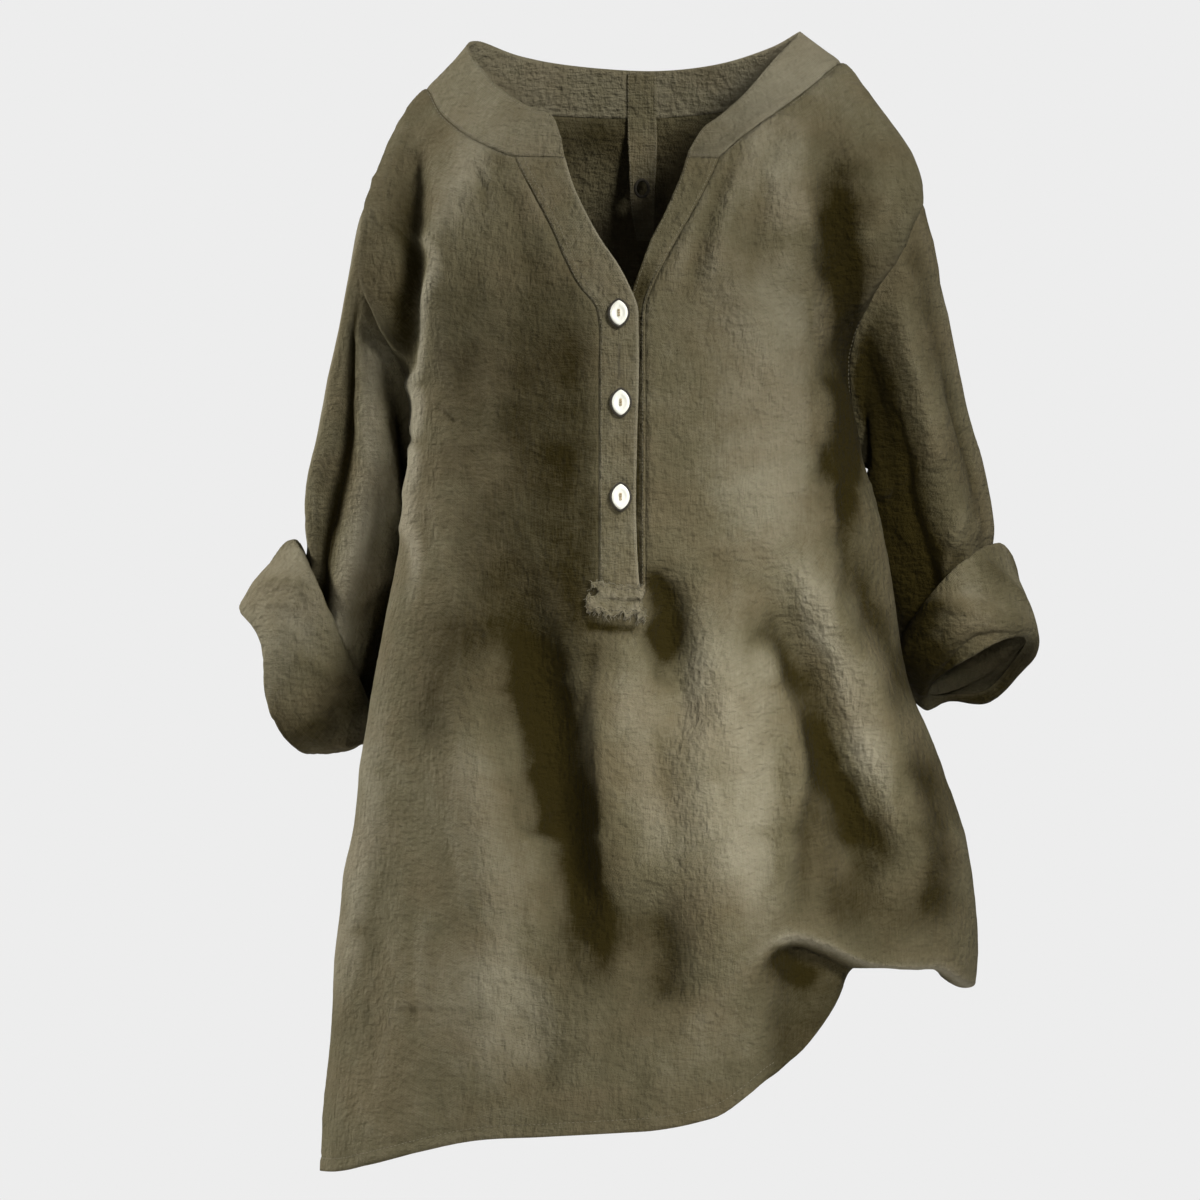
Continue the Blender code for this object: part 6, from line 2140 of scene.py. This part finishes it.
class Neck:
    """Neckband and the strip that hangs inside it at the centre back."""

    def __init__(self, body: Body, placket: Placket) -> None:
        """Lays out the band from the necklines and the strips' upper ends."""
        grid = band_grid(body.front_form, body.back_form, placket.over_form,
                         placket.under_form)
        band = Cloth("neckband_cloth", grid, wall=BAND_WALL)
        self.band = work(band, band.from_edges("t"), crumple(band.grid, 0.4), 0.6)
        # Painted light on the neckband, more on its left side.
        self.band.painted_shading_and_fade = BAND_PAINTED_LIGHT + BAND_LEFT_PAINTED_LIGHT * ease(self.band.grid[..., 0],
                                                           *BAND_LEFT)
        self.strip = self.hang_strip()

    def hang_strip(self) -> Cloth:
        """The strip with its eyelet cut out."""
        level = np.linspace(STRIP["level"][-1], STRIP["level"][0], STRIP_CELLS[0] + 1)
        half, lean = (read(STRIP, "level", name)(level)[:, None]
                      for name in ("half_width", "lean"))
        x = STRIP_CENTRE + lean + half * np.linspace(-1, 1, STRIP_CELLS[1] + 1)
        z = np.repeat(level[:, None], x.shape[1], axis=1)
        coarse = slice(None, None, STRIP_COARSE)
        seat = cast(x[coarse], np.clip(z[coarse], *STRIP_SEAT), (self.band.grid,), False)
        y = np.stack([np.interp(-level, -level[coarse], column) for column in seat.T],
                     axis=1) - STRIP_GAP
        points = np.stack([x, y, z], axis=-1)
        cx, cz, a, b = EYELET
        middle = (points[:-1, :-1] + points[1:, 1:]) / 2
        apart = np.hypot((middle[..., 0] - cx) / a, (middle[..., 2] - cz) / b)
        strip = Cloth("back_strip_cloth", points, cells=apart >= 1)
        strip.lift(crumple(points, 0.3) * ease(level[:, None], *STRIP_HANGS))
        strip.painted_shading_and_fade = np.full(x.shape, STRIP_PALENESS)
        return strip

    def build(self, kit: Kit) -> None:
        """Builds the band and the strip with their stitching."""
        band, band_sewing = sewn(self.band, "neckband", kit, Sewing.EDGE, 37,
                                 self.band.rows(BAND_ROWS))
        strip, strip_sewing = sewn(self.strip, "back_strip", kit, Sewing.EDGE, 41,
                                   self.strip.rows(STRIP_ROWS))
        self.build_eyelet(kit)

    def build_eyelet(self, kit: Kit) -> Piece:
        """Builds the ring of thread round the eyelet."""
        cx, cz, a, b = EYELET
        angles = round_angles(EYELET_SIDES)
        x, z = cx + a * np.cos(angles), cz + b * np.sin(angles)
        depth = cast(x, z, (self.strip.grid[60:140],))
        path = np.stack([x, depth, z], axis=-1)
        mesh = tube_mesh("eyelet_thread", path, EYELET_BEAD, 12)
        return carry(shown("eyelet_thread", mesh, kit.dark), LINEN_SLOT)


def ring_faces(count: int, sides: int, closed: bool) -> Array:
    """Faces between rings of points, and from the last ring to the first."""
    i = np.arange(count if closed else count - 1)[:, None]
    k = np.arange(sides)[None, :]
    j, m = (i + 1) % count, (k + 1) % sides
    return np.stack([i * sides + k, j * sides + k, j * sides + m, i * sides + m],
                    axis=-1).reshape(-1, 4)


def tube_mesh(name: str, path: Array, radius: float, sides: int) -> Mesh:
    """A round closed tube along a closed path."""
    ahead = unit(np.roll(path, -1, axis=0) - np.roll(path, 1, axis=0))
    out = unit(path - path.mean(axis=0))
    side = unit(np.cross(ahead, out))
    turn = round_angles(sides)
    rings = (path[:, None] + radius * (np.cos(turn)[None, :, None] * out[:, None]
                                       + np.sin(turn)[None, :, None] * side[:, None]))
    return mesh_of(name, rings.reshape(-1, 3), ring_faces(len(path), sides, True))


class Button:
    """One pointed oval button on the over-placket."""

    def __init__(self, number: int, x: float, level: float, strip: Array) -> None:
        """Seats the button.

        Args:
            number: Counted from the top.
            x: Its centre across.
            level: Its centre's level.
            strip: The over-placket's grid.
        """
        self.number = number
        step = BUTTON_STEP
        near = cast(x + np.array([0, -step, step, 0, 0]),
                    level + np.array([0, 0, 0, -step, step]), (strip,))
        slope_x = (near[2] - near[1]) / (2 * step)
        slope_z = (near[4] - near[3]) / (2 * step)
        self.normal = unit(np.array([slope_x, -1.0, slope_z]))
        self.up = unit(np.array([0.0, slope_z, 1.0]))
        self.across = np.cross(self.up, self.normal)
        self.base = np.array([x, near[0], level]) + self.normal * (
            STRIP_WALL / 2 + BUTTON_LIFT)

    def at(self, right: Array, up: Array, out: Array) -> Array:
        """Points given along the button's own directions."""
        return (self.base + np.multiply.outer(right, self.across)
                + np.multiply.outer(up, self.up) + np.multiply.outer(out, self.normal))

    def oval(self, reach: float, height: float) -> Array:
        """One ring of the button."""
        angle = round_angles(BUTTON_SIDES)
        drawn = np.abs(np.cos(angle)) ** BUTTON_POINT
        return self.at(np.cos(angle) * reach * BUTTON_WIDTH / 2 * drawn,
                       np.sin(angle) * reach * BUTTON_HEIGHT / 2,
                       np.full_like(angle, height * BUTTON_THICK))

    def build(self, kit: Kit) -> None:
        """Builds the button, the dark ring of painted shadow under its rim and the thread
        across it.
        """
        name = f"button_{self.number}"
        rings = [self.oval(max(reach, 0.004), height)
                 for reach, height in zip(*BUTTON_PROFILE.values())]
        mesh = mesh_of(f"{name}_shell", np.concatenate(rings),
                       ring_faces(len(rings), BUTTON_SIDES, False))
        carry(shown(f"{name}_shell", mesh, kit.shell), BUTTON_SLOT, name)
        # Dark ring of painted shadow under the button's rim.
        edge = tube_mesh(f"{name}_edge", self.oval(*BUTTON_SHADOW_RING), BUTTON_SHADOW_RING_RADIUS, 8)
        carry(shown(f"{name}_edge", edge, kit.dark), BUTTON_SLOT)
        up = np.linspace(-SHANK_HALF, SHANK_HALF, 7)
        strands = [self.at(np.full(7, right), up, np.full(7, SHANK_LEVEL))
                   for right in SHANK_STRANDS]
        stitches(f"{name}_thread", strands, Sewing.SHANK, kit.cream, 43)


# ---------------------------------------------------------------- studio
PALE_GREY = 0.847      # the photo's background, in linear light
CAMERA_PLACE = (-0.0138, -20.0, -0.362)
FRAME_WIDTH = 0.830    # width of the frame at the garment
SENSOR = 36.0
GLOW = 0.085           # how strongly the backdrop lights the garment
FLOOR_SIDES = 96
FLOOR_RADIUS = 0.74
FLOOR_LEVEL = -0.83


@dataclass(frozen=True)
class Lamp:
    """A soft light that points at a place.

    Attributes:
        name: Its name.
        place: Where it stands.
        aim: What it points at.
        size: Width of its square or, where it has a beam, radius of its bulb.
        power: Its strength.
        beam: Full angle of its beam in degrees, 0 for none.
    """

    name: str
    place: Sequence[float]
    aim: Sequence[float]
    size: float
    power: float
    beam: float = 0.0

    def build(self) -> None:
        """Puts the light in the scene."""
        light = bpy.data.lights.new(self.name, "SPOT" if self.beam else "AREA")
        light.energy = self.power
        if self.beam:
            light.shadow_soft_size = self.size
            light.spot_size = math.radians(self.beam)
            light.spot_blend = 1.0
        else:
            light.size = self.size
        lamp = bpy.data.objects.new(self.name, light)
        lamp.location = self.place
        ahead = Vector(self.aim) - Vector(self.place)
        lamp.rotation_euler = ahead.to_track_quat("-Z", "Y").to_euler()
        bpy.context.scene.collection.objects.link(lamp)


LAMPS = (
    Lamp("key", (1.45, -2.0, 1.05), (0.0, 0.0, -0.36), 0.6, 88.0),
    Lamp("fill", (-1.3, -2.3, 0.35), (0.0, 0.0, -0.40), 1.0, 8.0),
    Lamp("rim_right", (-2.0, 0.45, 0.5), (-0.15, 0.0, -0.35), 0.6, 70.0),
    Lamp("rim_left", (1.0, 1.4, 1.3), (0.2, 0.0, -0.3), 0.7, 12.0),
    Lamp("belly", (0.55, -2.3, -0.05), (0.085, -0.12, -0.45), 0.16, 182.0, beam=11.5),
)


def studio() -> None:
    """Camera, floor, backdrop and lights."""
    scene = bpy.context.scene
    scene.view_settings.view_transform = "Standard"
    lens = bpy.data.cameras.new("front_view")
    lens.sensor_width = SENSOR
    lens.lens = SENSOR * abs(CAMERA_PLACE[1]) / FRAME_WIDTH
    lens.clip_end = 100.0
    camera = bpy.data.objects.new("front_view", lens)
    camera.location = CAMERA_PLACE
    camera.rotation_euler = (math.pi / 2, 0.0, 0.0)
    scene.collection.objects.link(camera)
    scene.camera = camera
    floor()
    surroundings()
    for lamp in LAMPS:
        lamp.build()


def floor() -> None:
    """A plain pale disc under the garment, below the camera's view."""
    angles = round_angles(FLOOR_SIDES)
    rim = [(FLOOR_RADIUS * math.cos(a), FLOOR_RADIUS * math.sin(a), FLOOR_LEVEL)
           for a in angles]
    mesh = bpy.data.meshes.new("floor")
    mesh.from_pydata(rim, [], [tuple(range(len(rim)))])
    mesh.materials.append(PlainFinish("pale_floor", (0.8, 0.8, 0.8, 1)).build())
    placed("floor", mesh)


def surroundings() -> None:
    """Flat pale backdrop, which lights the garment less than it shows."""
    world = bpy.data.worlds.new("backdrop")
    world.use_nodes = True
    bpy.context.scene.world = world
    graph = Graph(world.node_tree)
    world.node_tree.nodes.clear()
    seen, glow = (graph.add("ShaderNodeBackground", {
        "Color": (tone, tone, tone, 1), "Strength": strength})
        for tone, strength in ((PALE_GREY, 1.0), (1.0, GLOW)))
    to_camera = graph.add("ShaderNodeLightPath").outputs["Is Camera Ray"]
    both = graph.add("ShaderNodeMixShader", {0: to_camera, 1: glow, 2: seen})
    graph.add("ShaderNodeOutputWorld", {"Surface": both})


# ---------------------------------------------------------------- the scene
def main() -> None:
    """Builds the garment and its studio, and notes its size."""
    logging.basicConfig(level=logging.INFO, format="%(name)s %(message)s")
    kit = Kit(
        linen=LinenFinish("washed_linen").build(),
        pale=ThreadFinish("olive_thread", (0.150, 0.132, 0.086, 1)).build(),
        # Dark thread, also used for the painted shadow ring under each button.
        dark=ThreadFinish("dark_thread_and_button_shadow", (0.030, 0.024, 0.013, 1)).build(),
        cream=ThreadFinish("cream_thread", (0.42, 0.34, 0.20, 1)).build(),
        shell=ShellFinish("button_ivory").build())
    studio()
    body = Body()
    placket = Placket(body)
    neck = Neck(body, placket)
    sleeves = [Sleeve(side, body) for side in SIDES]
    for part in (body, placket, neck, *sleeves):
        part.build(kit)
    for number, (x, level) in enumerate(zip(BUTTON_CENTRES, BUTTON_LEVELS), start=1):
        Button(number, x, level, placket.over.grid).build(kit)


if __name__ == "__main__":
    main()
